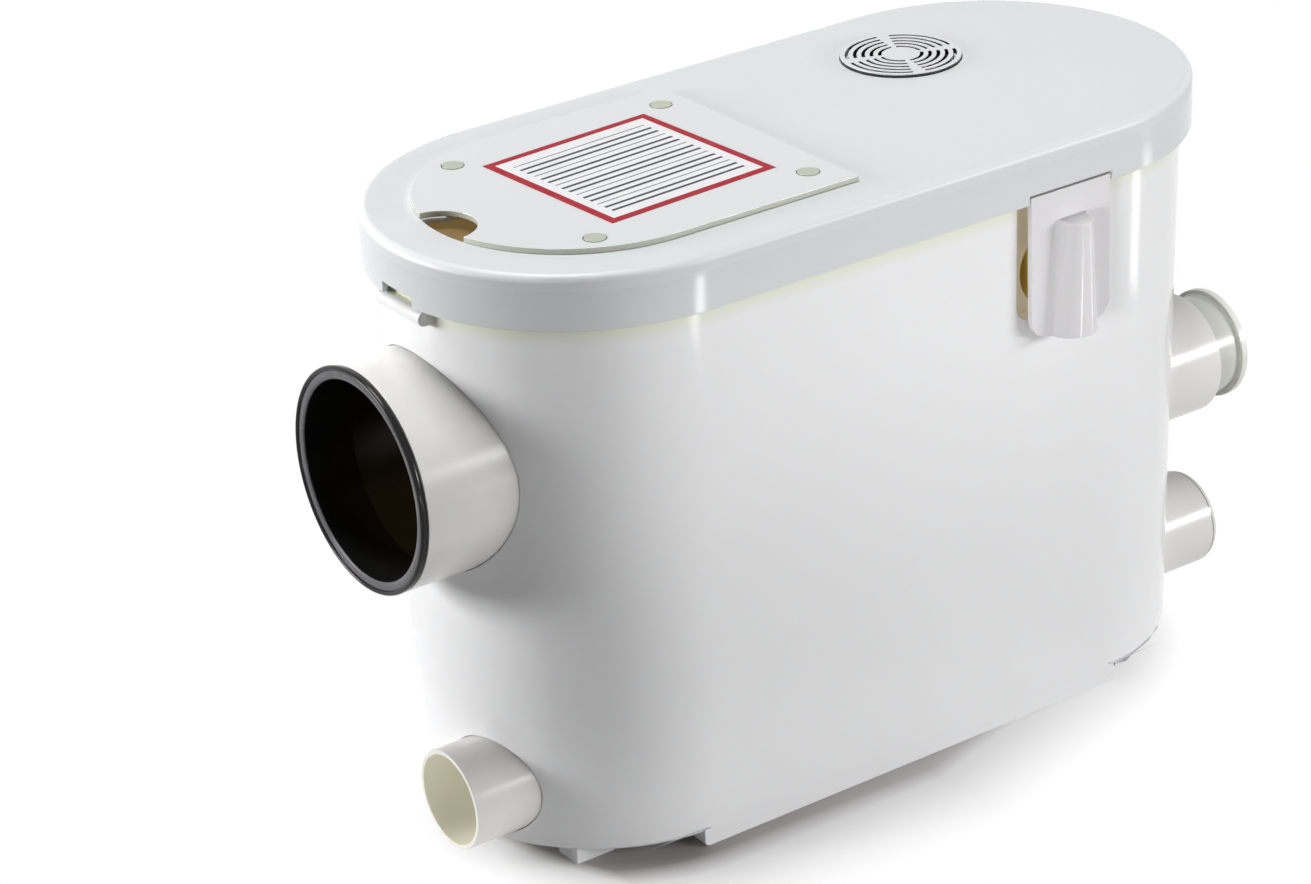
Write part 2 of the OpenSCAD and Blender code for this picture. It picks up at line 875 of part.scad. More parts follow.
module inner_deck() {
    reach = end_x + lid_r;
    color("goldenrod")
        difference() {
            union() {
                intersection() {
                    rotate([90, 0, 0])
                        linear_extrude(2 * lid_r, center = true)
                            polygon([
                                [-reach, deck_high],
                                [deck_step_x - deck_t, deck_high],
                                [deck_step_x - deck_t, deck_low],
                                [reach, deck_low],
                                [reach, deck_floor],
                                [deck_step_x, deck_floor],
                                [deck_step_x, deck_high + deck_t],
                                [-reach, deck_high + deck_t]
                            ]);
                    tank_inside(loose_gap);
                }
                flange_screw_places() translate([0, 0, deck_low - 10]) cylinder(h = 10 + eps, r = 5);
                translate([lead_x - guard_w / 2, -wall_r(deck_low) + guard_in, deck_floor - eps])
                    cube([guard_w, deck_t, lead_hole_z + lead_hole_r + guard_up - deck_floor]);
                translate([-end_x - cover_r + notch_r, notch_r / 2, deck_high])
                    cylinder(h = plate_low - pad_gap - deck_high, r = notch_r + pad_over);
            }
            deck_screw_places() translate([0, 0, -eps]) cylinder(h = 20, r = screw_r + screw_play);
            flange_screw_places() translate([0, 0, deck_low - 10 - eps])
                cylinder(h = 20, r = screw_r + run_gap);
            at_motor(deck_low - 20) cylinder(h = 40, r = hub_r + let_in);
            translate([switch_x, switch_y, deck_low - eps]) cylinder(h = 20, r = nipple_r + let_in);
        }
}

module deck_screws() {
    color("silver") deck_screw_places() screw(deck_t, 12);
}

module flange_screw_places() {
    for (turn = [45 : 90 : 315])
        at_motor(0) rotate(turn) translate([flange_screw_r, 0, 0]) children();
}

module motor_flange() {
    color("slategray")
        difference() {
            union() {
                at_motor(deck_floor) cylinder(h = flange_t, r = flange_r);
                at_motor(seal_low) cylinder(h = hub_drop + eps, r = hub_r);
            }
            at_motor(0) cylinder(h = through, r = shaft_r + 1);
            at_motor(can_low - bearing_w) cylinder(h = bearing_w + eps, r = bearing_r + run_gap);
            at_motor(seal_low - eps)
                cylinder(h = hub_drop + flange_t - bearing_w - 1 + eps, r = seal_r);
            flange_screw_places() cylinder(h = through, r = screw_r + screw_play);
        }
}

module flange_screws() {
    color("silver") flange_screw_places() screw(can_low, flange_t + deck_t + 8);
}

module ring_at_motor(z, h, r_out, r_in) {
    at_motor(z)
        difference() {
            cylinder(h = h, r = r_out);
            translate([0, 0, -eps]) cylinder(h = h + 2 * eps, r = r_in);
        }
}

module motor_can() {
    color("steelblue") ring_at_motor(can_low, can_h, can_r, can_r - can_wall);
}

module stator_core() {
    slot_w = 5;
    slot_d = 9;
    color("gray")
        difference() {
            ring_at_motor(core_low, core_len, can_r - can_wall - let_in, rotor_r + 0.6);
            for (turn = [0 : 30 : 330])
                at_motor(core_low - eps)
                    rotate(turn)
                        translate([rotor_r, -slot_w / 2, 0]) cube([slot_d, slot_w, core_len + 2 * eps]);
        }
}

module stator_windings() {
    head_h = 9;
    slot_w = 5;
    slot_d = 9;
    gap = 0.5;
    color("peru") {
        for (z = [core_low - head_h, core_low + core_len])
            ring_at_motor(z, head_h, rotor_r + 14, rotor_r + 1.5);
        for (turn = [0 : 30 : 330])
            at_motor(core_low - eps)
                rotate(turn)
                    translate([rotor_r + 1.5, -slot_w / 2 + gap, 0])
                        cube([slot_d - 2.5, slot_w - 2 * gap, core_len + 2 * eps]);
    }
}

module motor_cap() {
    color("dimgray")
        difference() {
            union() {
                at_motor(can_top) cylinder(h = cap_t, r = can_r);
                at_motor(can_top) cylinder(h = cap_hub_h, r = bearing_r + 5);
            }
            at_motor(can_top - eps) cylinder(h = bearing_w + eps, r = bearing_r + run_gap);
        }
}

module lower_bearing() {
    color("silver") ring_at_motor(can_low - bearing_w, bearing_w, bearing_r, shaft_r + run_gap);
}

module upper_bearing() {
    color("silver") ring_at_motor(can_top, bearing_w, bearing_r, shaft_r + run_gap);
}

module shaft_seal() {
    color("black")
        ring_at_motor(seal_low + 0.5, hub_drop + flange_t - bearing_w - 2, seal_r - let_in, shaft_r + run_gap);
}

module motor_shaft() {
    color("lightgray") at_motor(shaft_low) cylinder(h = can_top + bearing_w - 1 - shaft_low, r = shaft_r);
}

module rotor_core() {
    color("darkgray") ring_at_motor(core_low, core_len, rotor_r, shaft_r + run_gap);
}

module rotor_nut() {
    color("silver")
        at_motor(shaft_low)
            difference() {
                cylinder(h = nut_h - let_in, r = nut_r, $fn = hex_sides);
                translate([0, 0, -eps]) cylinder(h = through, r = shaft_r + run_gap);
            }
}

module impeller() {
    disc_t = 3;
    vane_t = 2.5;
    curve_r = impeller_r * 0.6;
    color("black")
        difference() {
            union() {
                at_motor(impeller_top - disc_t) cylinder(h = disc_t, r = impeller_r);
                at_motor(impeller_low) cylinder(h = impeller_top - impeller_low, r = shaft_r + 5);
                for (vane = [0 : vanes - 1])
                    at_motor(impeller_low + 2)
                        rotate(vane * 360 / vanes)
                            linear_extrude(impeller_top - impeller_low - 2 - disc_t + eps)
                                intersection() {
                                    circle(impeller_r - 0.5);
                                    translate([curve_r, 0])
                                        difference() {
                                            circle(curve_r);
                                            circle(curve_r - vane_t);
                                        }
                                    square([2 * impeller_r, 2 * impeller_r]);
                                }
            }
            at_motor(0) cylinder(h = through, r = shaft_r + run_gap);
        }
}

module cutter_blade() {
    blade_t = 3;
    blade_w = 12;
    blade_z = basket_low + basket_t + blade_rise;
    color("silver")
        difference() {
            union() {
                at_motor(blade_z) cylinder(h = blade_hub_h, r = shaft_r + blade_rise);
                for (half = [0, 180])
                    at_motor(blade_z + 2)
                        rotate(half)
                            linear_extrude(blade_t)
                                polygon([
                                    [0, -blade_w / 2],
                                    [blade_r - blade_w, -blade_w / 2],
                                    [blade_r, blade_w / 3],
                                    [blade_r - 3, blade_w / 2],
                                    [0, blade_w / 2]
                                ]);
            }
            at_motor(0) cylinder(h = through, r = shaft_r + run_gap);
        }
}

module pump_volute() {
    color("darkslategray")
        difference() {
            union() {
                at_motor(floor_z) cylinder(h = volute_top - floor_z, r = volute_r);
                along_x(motor_x, -port_y, low_port_z) cylinder(h = valve_x - motor_x, r = outlet_r);
            }
            at_motor(chamber_low) cylinder(h = volute_top, r = volute_r - volute_wall);
            along_x(motor_x, -port_y, low_port_z) cylinder(h = through, r = outlet_r - 3);
            casing_screw_places()
                translate([0, 0, volute_top - casing_screw_in - screw_r])
                    cylinder(h = through, r = screw_r + run_gap);
        }
}

module casing_screw_places() {
    for (turn = [20 : 90 : 290])
        at_motor(0) rotate(turn) translate([volute_r - volute_wall / 2, 0, 0]) children();
}

module suction_plate() {
    color("gray")
        difference() {
            ring_at_motor(volute_top, plate_t, volute_r, suction_r);
            casing_screw_places() cylinder(h = through, r = screw_r + screw_play);
        }
}

module casing_screws() {
    color("silver")
        casing_screw_places()
            screw(basket_low + basket_t, basket_t + plate_t + casing_screw_in, casing_head_r);
}

module basket_tub(r, z, h) {
    translate([0, 0, z])
        linear_extrude(h) {
            translate([motor_x, 0]) circle(r);
            translate([basket_x, 0]) circle(r);
            translate([basket_x, -r]) square([motor_x - basket_x, 2 * r]);
        }
}

module macerator_basket() {
    hole_step = 3.6 * basket_hole_r;
    row_step = (basket_h - 2 * basket_rim) / (basket_rows - 1);
    holes = floor((motor_x - basket_x) / hole_step);
    leg_r = 6;
    color("dimgray")
        difference() {
            union() {
                basket_tub(basket_r, basket_low, basket_h);
                for (side = [-1, 1])
                    translate([basket_x, side * basket_r * 0.6, floor_z])
                        cylinder(h = basket_low - floor_z + eps, r = leg_r);
            }
            basket_tub(basket_r - basket_t, basket_low + basket_t, basket_h);
            at_motor(0) cylinder(h = through, r = suction_r);
            casing_screw_places() cylinder(h = through, r = screw_r + screw_play);
            for (row = [0 : basket_rows - 1], hole = [0 : holes])
                translate([basket_x + hole * hole_step, 0, basket_low + basket_rim + row * row_step])
                    rotate([90, 0, 0]) cylinder(h = through, r = basket_hole_r, center = true);
        }
}

module valve_housing() {
    color("slategray")
        difference() {
            along_x(valve_x, -port_y, low_port_z) cylinder(h = spigot_end - valve_x, r = valve_r);
            along_x(valve_x - eps, -port_y, low_port_z) cylinder(h = seat_x - valve_x, r = outlet_r - 3);
            along_x(0, -port_y, low_port_z) cylinder(h = through, r = flap_r - 3.5);
            along_x(seat_x + seat_t, -port_y, low_port_z) cylinder(h = through, r = valve_r - valve_wall);
            valve_pin_hole(pin_r + run_gap);
        }
}

module valve_pin_hole(r) {
    translate([flap_x + boss_r, -port_y, low_port_z + hinge_up])
        rotate([90, 0, 0]) cylinder(h = 29, r = r, center = true);
}

module check_flap_pin() {
    color("silver") valve_pin_hole(pin_r);
}

module check_flap() {
    ear_w = 12;
    color("dimgray")
        difference() {
            union() {
                along_x(flap_x, -port_y, low_port_z) cylinder(h = flap_t, r = flap_r);
                translate([flap_x, -port_y - ear_w / 2, low_port_z]) cube([flap_t, ear_w, hinge_up]);
                translate([flap_x + boss_r, -port_y, low_port_z + hinge_up])
                    rotate([90, 0, 0]) cylinder(h = ear_w, r = boss_r, center = true);
            }
            valve_pin_hole(pin_r + run_gap);
        }
}

module at_switch(z) {
    translate([switch_x, switch_y, z]) children();
}

module dip_tube() {
    bell = 45;
    color("ghostwhite")
        at_switch(bell)
            difference() {
                cylinder(h = deck_low - bell, r = nipple_r + 2);
                translate([0, 0, -eps]) cylinder(h = deck_low, r = nipple_r - 0.5);
            }
}

module pressure_switch() {
    post = 5;
    color("black")
        difference() {
            union() {
                at_switch(deck_low) cylinder(h = deck_t + eps, r = nipple_r);
                at_switch(deck_floor) cylinder(h = switch_h, r = switch_r);
                for (side = [-1, 1])
                    at_switch(deck_floor + switch_h - eps)
                        translate([side * post_x - post / 2, -post / 2, 0])
                            cube([post, post, plunger_up + plunger_travel + plunger_gap + eps]);
            }
            at_switch(deck_low - eps) cylinder(h = 8, r = 3);
            at_switch(deck_floor + plunger_foot) cylinder(h = switch_h, r = plunger_r + run_gap);
        }
}

module switch_plunger() {
    color("white") at_switch(deck_floor + plunger_foot + plunger_gap)
        cylinder(h = switch_h - plunger_foot - plunger_gap + plunger_up, r = plunger_r);
}

module micro_switch() {
    body_l = 32;
    body_w = 11;
    body_h = 12;
    color("firebrick")
        at_switch(deck_floor + switch_h + plunger_up + plunger_travel + plunger_gap)
            translate([-body_l / 2, -body_w / 2, 0])
                difference() {
                    cube([body_l, body_w, body_h]);
                    for (x = [6, body_l - 6])
                        translate([x, -eps, body_h / 2])
                            rotate([-90, 0, 0]) cylinder(h = body_w + 2 * eps, r = 1.6);
                }
}

module capacitor_cup() {
    color("black")
        translate([can_x, can_y, deck_floor])
            difference() {
                cylinder(h = cup_h, r = cap_r + let_in + cup_t);
                translate([0, 0, cup_t]) cylinder(h = cup_h, r = cap_r + let_in);
            }
}

module run_capacitor() {
    color("lightsteelblue")
        translate([can_x, can_y, deck_floor + cup_t]) {
            cylinder(h = cap_h, r = cap_r);
            for (side = [-1, 1])
                translate([side * 6 - 0.5, -3, cap_h - eps]) cube([1, 6, 10]);
        }
}

module terminal_block() {
    pole = 11;
    poles = 3;
    color("ivory")
        translate([block_x, block_y, deck_floor])
            difference() {
                union() {
                    cube([pole * poles, 20, 9]);
                    translate([0, 4, 0]) cube([pole * poles, 12, 18]);
                }
                for (n = [0 : poles - 1]) {
                    translate([(n + 0.5) * pole, 10, 8]) cylinder(h = 20, r = 3);
                    translate([(n + 0.5) * pole, -eps, 4.5]) rotate([-90, 0, 0]) cylinder(h = 8, r = 2.5);
                }
            }
}

tank();
soil_spigot();
soil_seal();
inlet_spigot();
inlet_flap_pin();
inlet_flap();
outlet_spigot();
spare_socket();
socket_ring();
blanking_plug();
lid_gasket();
lid();
access_cover();
cover_screws();
vent_grille();
charcoal_filter();
port_cover();
inner_deck();
deck_screws();
motor_flange();
flange_screws();
motor_can();
stator_core();
stator_windings();
motor_cap();
lower_bearing();
upper_bearing();
shaft_seal();
motor_shaft();
rotor_core();
rotor_nut();
impeller();
cutter_blade();
pump_volute();
suction_plate();
casing_screws();
macerator_basket();
valve_housing();
check_flap_pin();
check_flap();
dip_tube();
pressure_switch();
switch_plunger();
micro_switch();
capacitor_cup();
run_capacitor();
terminal_block();
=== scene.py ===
"""Dresses the macerator toilet pump: softened mouldings, finishes, the cover's sticker and the studio."""

import json
import logging
import math
from collections.abc import Iterator
from contextlib import contextmanager
from dataclasses import dataclass
from enum import Enum

import bpy
from mathutils import Matrix, Vector

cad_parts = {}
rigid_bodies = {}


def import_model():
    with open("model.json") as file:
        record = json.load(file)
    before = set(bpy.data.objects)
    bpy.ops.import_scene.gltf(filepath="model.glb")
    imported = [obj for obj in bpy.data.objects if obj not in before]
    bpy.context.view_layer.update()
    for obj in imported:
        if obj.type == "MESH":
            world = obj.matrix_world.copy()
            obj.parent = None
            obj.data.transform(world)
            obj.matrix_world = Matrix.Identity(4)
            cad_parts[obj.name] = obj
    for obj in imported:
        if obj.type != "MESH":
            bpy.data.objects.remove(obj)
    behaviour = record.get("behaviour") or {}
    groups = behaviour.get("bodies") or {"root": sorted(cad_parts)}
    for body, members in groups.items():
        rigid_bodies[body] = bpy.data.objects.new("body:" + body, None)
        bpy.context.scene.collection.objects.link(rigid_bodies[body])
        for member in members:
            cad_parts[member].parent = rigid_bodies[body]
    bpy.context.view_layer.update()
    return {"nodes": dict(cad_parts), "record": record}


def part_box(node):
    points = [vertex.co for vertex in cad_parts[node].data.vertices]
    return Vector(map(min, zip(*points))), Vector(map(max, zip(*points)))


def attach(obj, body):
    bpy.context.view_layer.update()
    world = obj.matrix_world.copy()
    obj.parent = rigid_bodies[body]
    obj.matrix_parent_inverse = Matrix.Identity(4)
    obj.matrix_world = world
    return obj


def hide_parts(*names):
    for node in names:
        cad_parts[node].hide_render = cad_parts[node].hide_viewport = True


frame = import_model()

LOG = logging.getLogger("pump")
MM = 0.001
# Edges sharper than this many degrees are rounded, and stay crisp in the shading.
CREASE = 34.0
BLACK = (0.0, 0.0, 0.0)
Colour = tuple[float, float, float]
Point = tuple[float, float, float]
Pair = tuple[float, float]
Socket = bpy.types.NodeSocket


class Rider(Enum):
    """The bodies that the added pieces ride on."""

    TANK = "tank_unit"
    COVER = "access_cover"


class Flow(Enum):
    """How the colour of a moulding drifts, as the scale of its cloud pattern."""

    BROAD = 7.0
    NARROW = 28.0


class Side(Enum):
    """Which side of a level takes another colour, as an axis and a test."""

    BELOW = (2, "LESS_THAN")
    INWARD = (1, "GREATER_THAN")
    LEFT = (0, "LESS_THAN")


def pick(*pieces: bpy.types.Object) -> None:
    """Selects these pieces alone and makes the first one active.

    Args:
        pieces: The objects to select, or none.
    """
    bpy.ops.object.select_all(action="DESELECT")
    for piece in pieces:
        piece.select_set(True)
    if pieces:
        bpy.context.view_layer.objects.active = pieces[0]


@contextmanager
def editing(piece: bpy.types.Object) -> Iterator[None]:
    """Opens one piece alone in edit mode, with all of it selected.

    Args:
        piece: The mesh object to edit.
    """
    pick(piece)
    bpy.ops.object.mode_set(mode="EDIT")
    bpy.ops.mesh.select_all(action="SELECT")
    yield
    bpy.ops.object.mode_set(mode="OBJECT")


def apply_modifier(piece: bpy.types.Object, name: str, kind: str, **settings: object) -> None:
    """Adds a modifier to a piece and applies it.

    Args:
        piece: The mesh object.
        name: The modifier's name.
        kind: Blender's word for the modifier.
        settings: Values for the modifier's properties.
    """
    modifier = piece.modifiers.new(name, kind)
    for key, value in settings.items():
        setattr(modifier, key, value)
    bpy.context.view_layer.objects.active = piece
    bpy.ops.object.modifier_apply(modifier=name)


def smooth(piece: bpy.types.Object, angle: float = CREASE, weight: int = 90) -> None:
    """Shades a piece smooth across soft edges and weighs its normals by face area.

    Args:
        piece: The mesh object.
        angle: Edges sharper than this many degrees stay crisp.
        weight: How far large faces outweigh small ones, where 50 is even.
    """
    pick(piece)
    bpy.ops.object.shade_smooth_by_angle(angle=math.radians(angle))
    apply_modifier(piece, "even_shading", "WEIGHTED_NORMAL", keep_sharp=True, weight=weight)


def shade(colour: Colour, share: float) -> Colour:
    """Gives a colour made darker or lighter by a share."""
    return tuple(part * share for part in colour)


class Sheet:
    """The node tree of one material, with short ways to add and join nodes."""

    def __init__(self, name: str) -> None:
        """Starts a material with one shader and its output.

        Args:
            name: The material's name.
        """
        self.material = bpy.data.materials.new(name)
        self.material.use_nodes = True
        self.tree = self.material.node_tree
        self.tree.nodes.clear()
        self.shader = self.add("ShaderNodeBsdfPrincipled")
        self.output = self.add("ShaderNodeOutputMaterial")
        self.join(self.shader.outputs[0], self.output.inputs[0])
        self.place = self.add("ShaderNodeTexCoord").outputs["Object"]

    def add(self, kind: str, **settings: object) -> bpy.types.Node:
        """Adds a node.

        Args:
            kind: Blender's name of the node's type.
            settings: Values for the node's properties.

        Returns:
            The new node.
        """
        node = self.tree.nodes.new(kind)
        for key, value in settings.items():
            setattr(node, key, value)
        return node

    def join(self, source: Socket, target: Socket) -> None:
        """Links an output to an input."""
        self.tree.links.new(source, target)

    def feed(self, target: Socket, value: object) -> None:
        """Gives an input a socket's value or a constant."""
        if isinstance(value, Socket):
            self.join(value, target)
        else:
            target.default_value = value

    def set(self, **values: object) -> None:
        """Sets constants on the shader's own sockets, with underscores for spaces."""
        for key, value in values.items():
            self.shader.inputs[key.replace("_", " ")].default_value = value

    def math(self, operation: str, a: object, b: object = 0.0) -> Socket:
        """Adds a sum of two values.

        Args:
            operation: Blender's word for the sum.
            a: A socket or a number.
            b: A socket or a number.

        Returns:
            The result's socket.
        """
        node = self.add("ShaderNodeMath", operation=operation)
        self.feed(node.inputs[0], a)
        self.feed(node.inputs[1], b)
        return node.outputs[0]

    def both(self, *masks: Socket) -> Socket:
        """Gives 1 where all masks are 1, and 0 elsewhere."""
        result = masks[0]
        for mask in masks[1:]:
            result = self.math("MULTIPLY", result, mask)
        return result

    def square(self, value: object) -> Socket:
        """Gives a value's square."""
        return self.math("POWER", value, 2.0)

    def noise(self, scale: float, detail: float = 2.0) -> Socket:
        """Adds a cloud pattern on Object coordinates.

        Args:
            scale: Features per metre.
            detail: Octaves of the pattern.

        Returns:
            The pattern's value.
        """
        node = self.add("ShaderNodeTexNoise")
        node.inputs["Scale"].default_value = scale
        node.inputs["Detail"].default_value = detail
        self.join(self.place, node.inputs["Vector"])
        return node.outputs["Fac"]

    def cells(self, scale: float) -> Socket:
        """Adds a pattern of cells on Object coordinates.

        Args:
            scale: Cells per metre.

        Returns:
            The distance from the nearest cell's middle.
        """
        node = self.add("ShaderNodeTexVoronoi")
        node.inputs["Scale"].default_value = scale
        self.join(self.place, node.inputs["Vector"])
        return node.outputs["Distance"]

    def span(self, value: Socket, low: float, high: float, a: float = 0.0, b: float = 1.0) -> Socket:
        """Maps a value from one span to another.

        Args:
            value: The socket to map.
            low: The value that gives a.
            high: The value that gives b.
            a: The result at low.
            b: The result at high.

        Returns:
            The mapped value, kept between a and b.
        """
        node = self.add("ShaderNodeMapRange")
        for key, number in zip(("From Min", "From Max", "To Min", "To Max"), (low, high, a, b)):
            node.inputs[key].default_value = number
        self.join(value, node.inputs["Value"])
        return node.outputs["Result"]

    def cloud(
        self, scale: float, detail: float, result: Pair = (0.0, 1.0), middle: Pair = (0.3, 0.7)
    ) -> Socket:
        """Adds a cloud pattern and spreads its middle over a span.

        Args:
            scale: Features per metre.
            detail: Octaves of the pattern.
            result: The span of the result.
            middle: The span of the pattern that is spread.

        Returns:
            The spread pattern's value.
        """
        return self.span(self.noise(scale, detail), *middle, *result)

    def mix(self, factor: Socket, a: object, b: object) -> Socket:
        """Mixes two colours.

        Args:
            factor: How much of b shows.
            a: A colour or its socket.
            b: A colour or its socket.

        Returns:
            The mixed colour's socket.
        """
        node = self.add("ShaderNodeMix", data_type="RGBA")
        self.join(factor, node.inputs["Factor"])
        colours = [socket for socket in node.inputs if socket.type == "RGBA"]
        for socket, value in zip(colours, (a, b)):
            self.feed(socket, value if isinstance(value, Socket) else (*value, 1.0))
        return next(socket for socket in node.outputs if socket.type == "RGBA")

    def parts(self, vector: Socket) -> tuple[Socket, Socket, Socket]:
        """Gives a vector's X, Y and Z as three sockets."""
        node = self.add("ShaderNodeSeparateXYZ")
        self.join(vector, node.inputs[0])
        return node.outputs[0], node.outputs[1], node.outputs[2]

    def axes(self) -> tuple[Socket, Socket, Socket]:
        """Gives the place's X, Y and Z as three sockets."""
        return self.parts(self.place)

    def within(self, value: Socket, low: float, high: float) -> Socket:
        """Gives 1 where a value lies between two limits, and 0 elsewhere."""
        return self.both(self.math("GREATER_THAN", value, low), self.math("LESS_THAN", value, high))

    def bump(self, *layers: tuple[Socket, float]) -> None:
        """Raises the surface by patterns, one on the other.

        Args:
            layers: Each pattern with its height in metres.
        """
        last = None
        for pattern, height in layers:
            node = self.add("ShaderNodeBump")
            node.inputs["Strength"].default_value = 1.0
            node.inputs["Distance"].default_value = height
            self.join(pattern, node.inputs["Height"])
            if last:
                self.join(last, node.inputs["Normal"])
            last = node.outputs["Normal"]
        self.join(last, self.shader.inputs["Normal"])

    def colour(self, source: Socket) -> None:
        """Gives the shader its colour."""
        self.join(source, self.shader.inputs["Base Color"])

    def rough(self, source: Socket) -> None:
        """Gives the shader its roughness."""
        self.join(source, self.shader.inputs["Roughness"])

    def painted_glow(self, mask: Socket, colour: Colour, strength: float) -> None:
        """Paints a faint glow on a part of the surface, a painted glow that stands in for light coming
        through thin plastic.

        Args:
            mask: Where the surface shines.
            colour: The light's colour.
            strength: The light's strength.
        """
        self.join(self.mix(mask, BLACK, colour), self.shader.inputs["Emission Color"])
        self.set(Emission_Strength=strength)


@dataclass(frozen=True)
class MouldedPlastic:
    """Moulded plastic with a faint flow in its colour, a fine skin and a few specks of dirt."""

    name: str
    colour: Colour
    roughness: float = 0.13
    drift: float = 0.03
    flow: Flow = Flow.BROAD
    skin: float = 0.0008 * MM
    skin_scale: float = 1300.0
    sink: float = 0.05 * MM
    sink_scale: float = 16.0
    wear: Pair = (0.9, 1.12)
    wear_scale: float = 12.0
    ior: float = 1.5
    glow: float = 0.06
    glow_depth: float = 4 * MM
    # Strength of a painted glow in the plastic's own colour, though the plastic is no lamp.
    painted_glow: float = 0.0
    specks: bool = False
    speck_scale: float = 34.0
    speck_size: float = 0.014
    speck_shade: float = 0.55
    patch_scale: float = 61.0
    patch_level: float = 0.6

    def base(self, sheet: Sheet) -> Socket:
        """Makes the colour with its flow and specks.

        Args:
            sheet: The material in the making.

        Returns:
            The colour's socket.
        """
        tone = sheet.mix(sheet.cloud(self.flow.value, 3.0), shade(self.colour, 1.0 - self.drift), self.colour)
        if self.specks:
            dot = sheet.math("LESS_THAN", sheet.cells(self.speck_scale), self.speck_size)
            chosen = sheet.math("GREATER_THAN", sheet.noise(self.patch_scale, 0.0), self.patch_level)
            tone = sheet.mix(sheet.both(chosen, dot), tone, shade(self.colour, self.speck_shade))
        return tone

    def dress(self, sheet: Sheet, tone: Socket) -> bpy.types.Material:
        """Finishes the material round its colour.

        Args:
            sheet: The material in the making.
            tone: The colour's socket.

        Returns:
            The finished material.
        """
        sheet.colour(tone)
        sheet.rough(sheet.cloud(self.wear_scale, 2.0, tuple(self.roughness * share for share in self.wear)))
        sheet.set(IOR=self.ior)
        if self.glow:
            sheet.set(Subsurface_Weight=self.glow, Subsurface_Scale=self.glow_depth)
        # Painted glow: the plastic lights itself in its own colour.
        if self.painted_glow:
            sheet.set(Emission_Color=(*self.colour, 1.0), Emission_Strength=self.painted_glow)
        sheet.bump((sheet.noise(self.sink_scale, 1.0), self.sink), (sheet.noise(self.skin_scale), self.skin))
        return sheet.material

    def material(self) -> bpy.types.Material:
        """Makes the material."""
        sheet = Sheet(self.name)
        return self.dress(sheet, self.base(sheet))


@dataclass(frozen=True)
class EdgedPlastic(MouldedPlastic):
    """Plastic that changes colour past a level, for a painted shade in a gap and for painted amber light from
    inside.
    """

    side: Side = Side.BELOW
    level: float = 0.0
    # The colour painted past the level: painted shade in gaps and slots, and painted amber light in the port.
    painted_light_and_shade: Colour = BLACK

    def base(self, sheet: Sheet) -> Socket:
        """Makes the colour with its painted light and shade past the level.

        Args:
            sheet: The material in the making.

        Returns:
            The colour's socket.
        """
        axis, test = self.side.value
        past = sheet.math(test, sheet.axes()[axis], self.level)
        return sheet.mix(past, MouldedPlastic.base(self, sheet), self.painted_light_and_shade)


@dataclass(frozen=True)
class LidPlastic(MouldedPlastic):
    """The lid's plastic, satin on its rounded upper edge and glossy on its skirt."""

    satin: float = 0.42
    skirt_z: float = 299 * MM
    edge_z: float = 303 * MM

    def dress(self, sheet: Sheet, tone: Socket) -> bpy.types.Material:
        """Finishes the material round its colour.

        Args:
            sheet: The material in the making.
            tone: The colour's socket.

        Returns:
            The finished material.
        """
        material = MouldedPlastic.dress(self, sheet, tone)
        sheet.rough(sheet.span(sheet.axes()[2], self.skirt_z, self.edge_z, self.roughness, self.satin))
        return material


@dataclass(frozen=True)
class TankPlastic(MouldedPlastic):
    """The tank's plastic, with a green-yellow tint under the lid and a tan pocket at the lead port that
    carries a painted glow.
    """

    tint: Colour = (0.62, 0.66, 0.36)
    tint_share: float = 0.55
    tint_z: Pair = (271 * MM, 280 * MM)
    tint_x: float = 219.2 * MM
    pocket: Colour = (0.55, 0.485, 0.36)
    pocket_painted_glow: float = 0.36
    pocket_x: Pair = (58 * MM, 122 * MM)
    pocket_y: Pair = (-94.8 * MM, 0.0)
    pocket_z: Pair = (214 * MM, 292 * MM)

    def material(self) -> bpy.types.Material:
        """Makes the material."""
        sheet = Sheet(self.name)
        x, y, z = sheet.axes()
        wall = sheet.within(x, -self.tint_x, self.tint_x)
        tinted = sheet.both(sheet.span(z, *self.tint_z, 0.0, self.tint_share), wall)
        tone = sheet.mix(tinted, self.base(sheet), self.tint)
        sides = ((x, self.pocket_x), (y, self.pocket_y), (z, self.pocket_z))
        inside = sheet.both(*(sheet.within(axis, *limits) for axis, limits in sides))
        # Painted glow: the tan pocket lights itself, standing in for light that reaches it in the shade of
        # the cover.
        sheet.painted_glow(inside, self.pocket, self.pocket_painted_glow)
        return self.dress(sheet, sheet.mix(inside, tone, self.pocket))


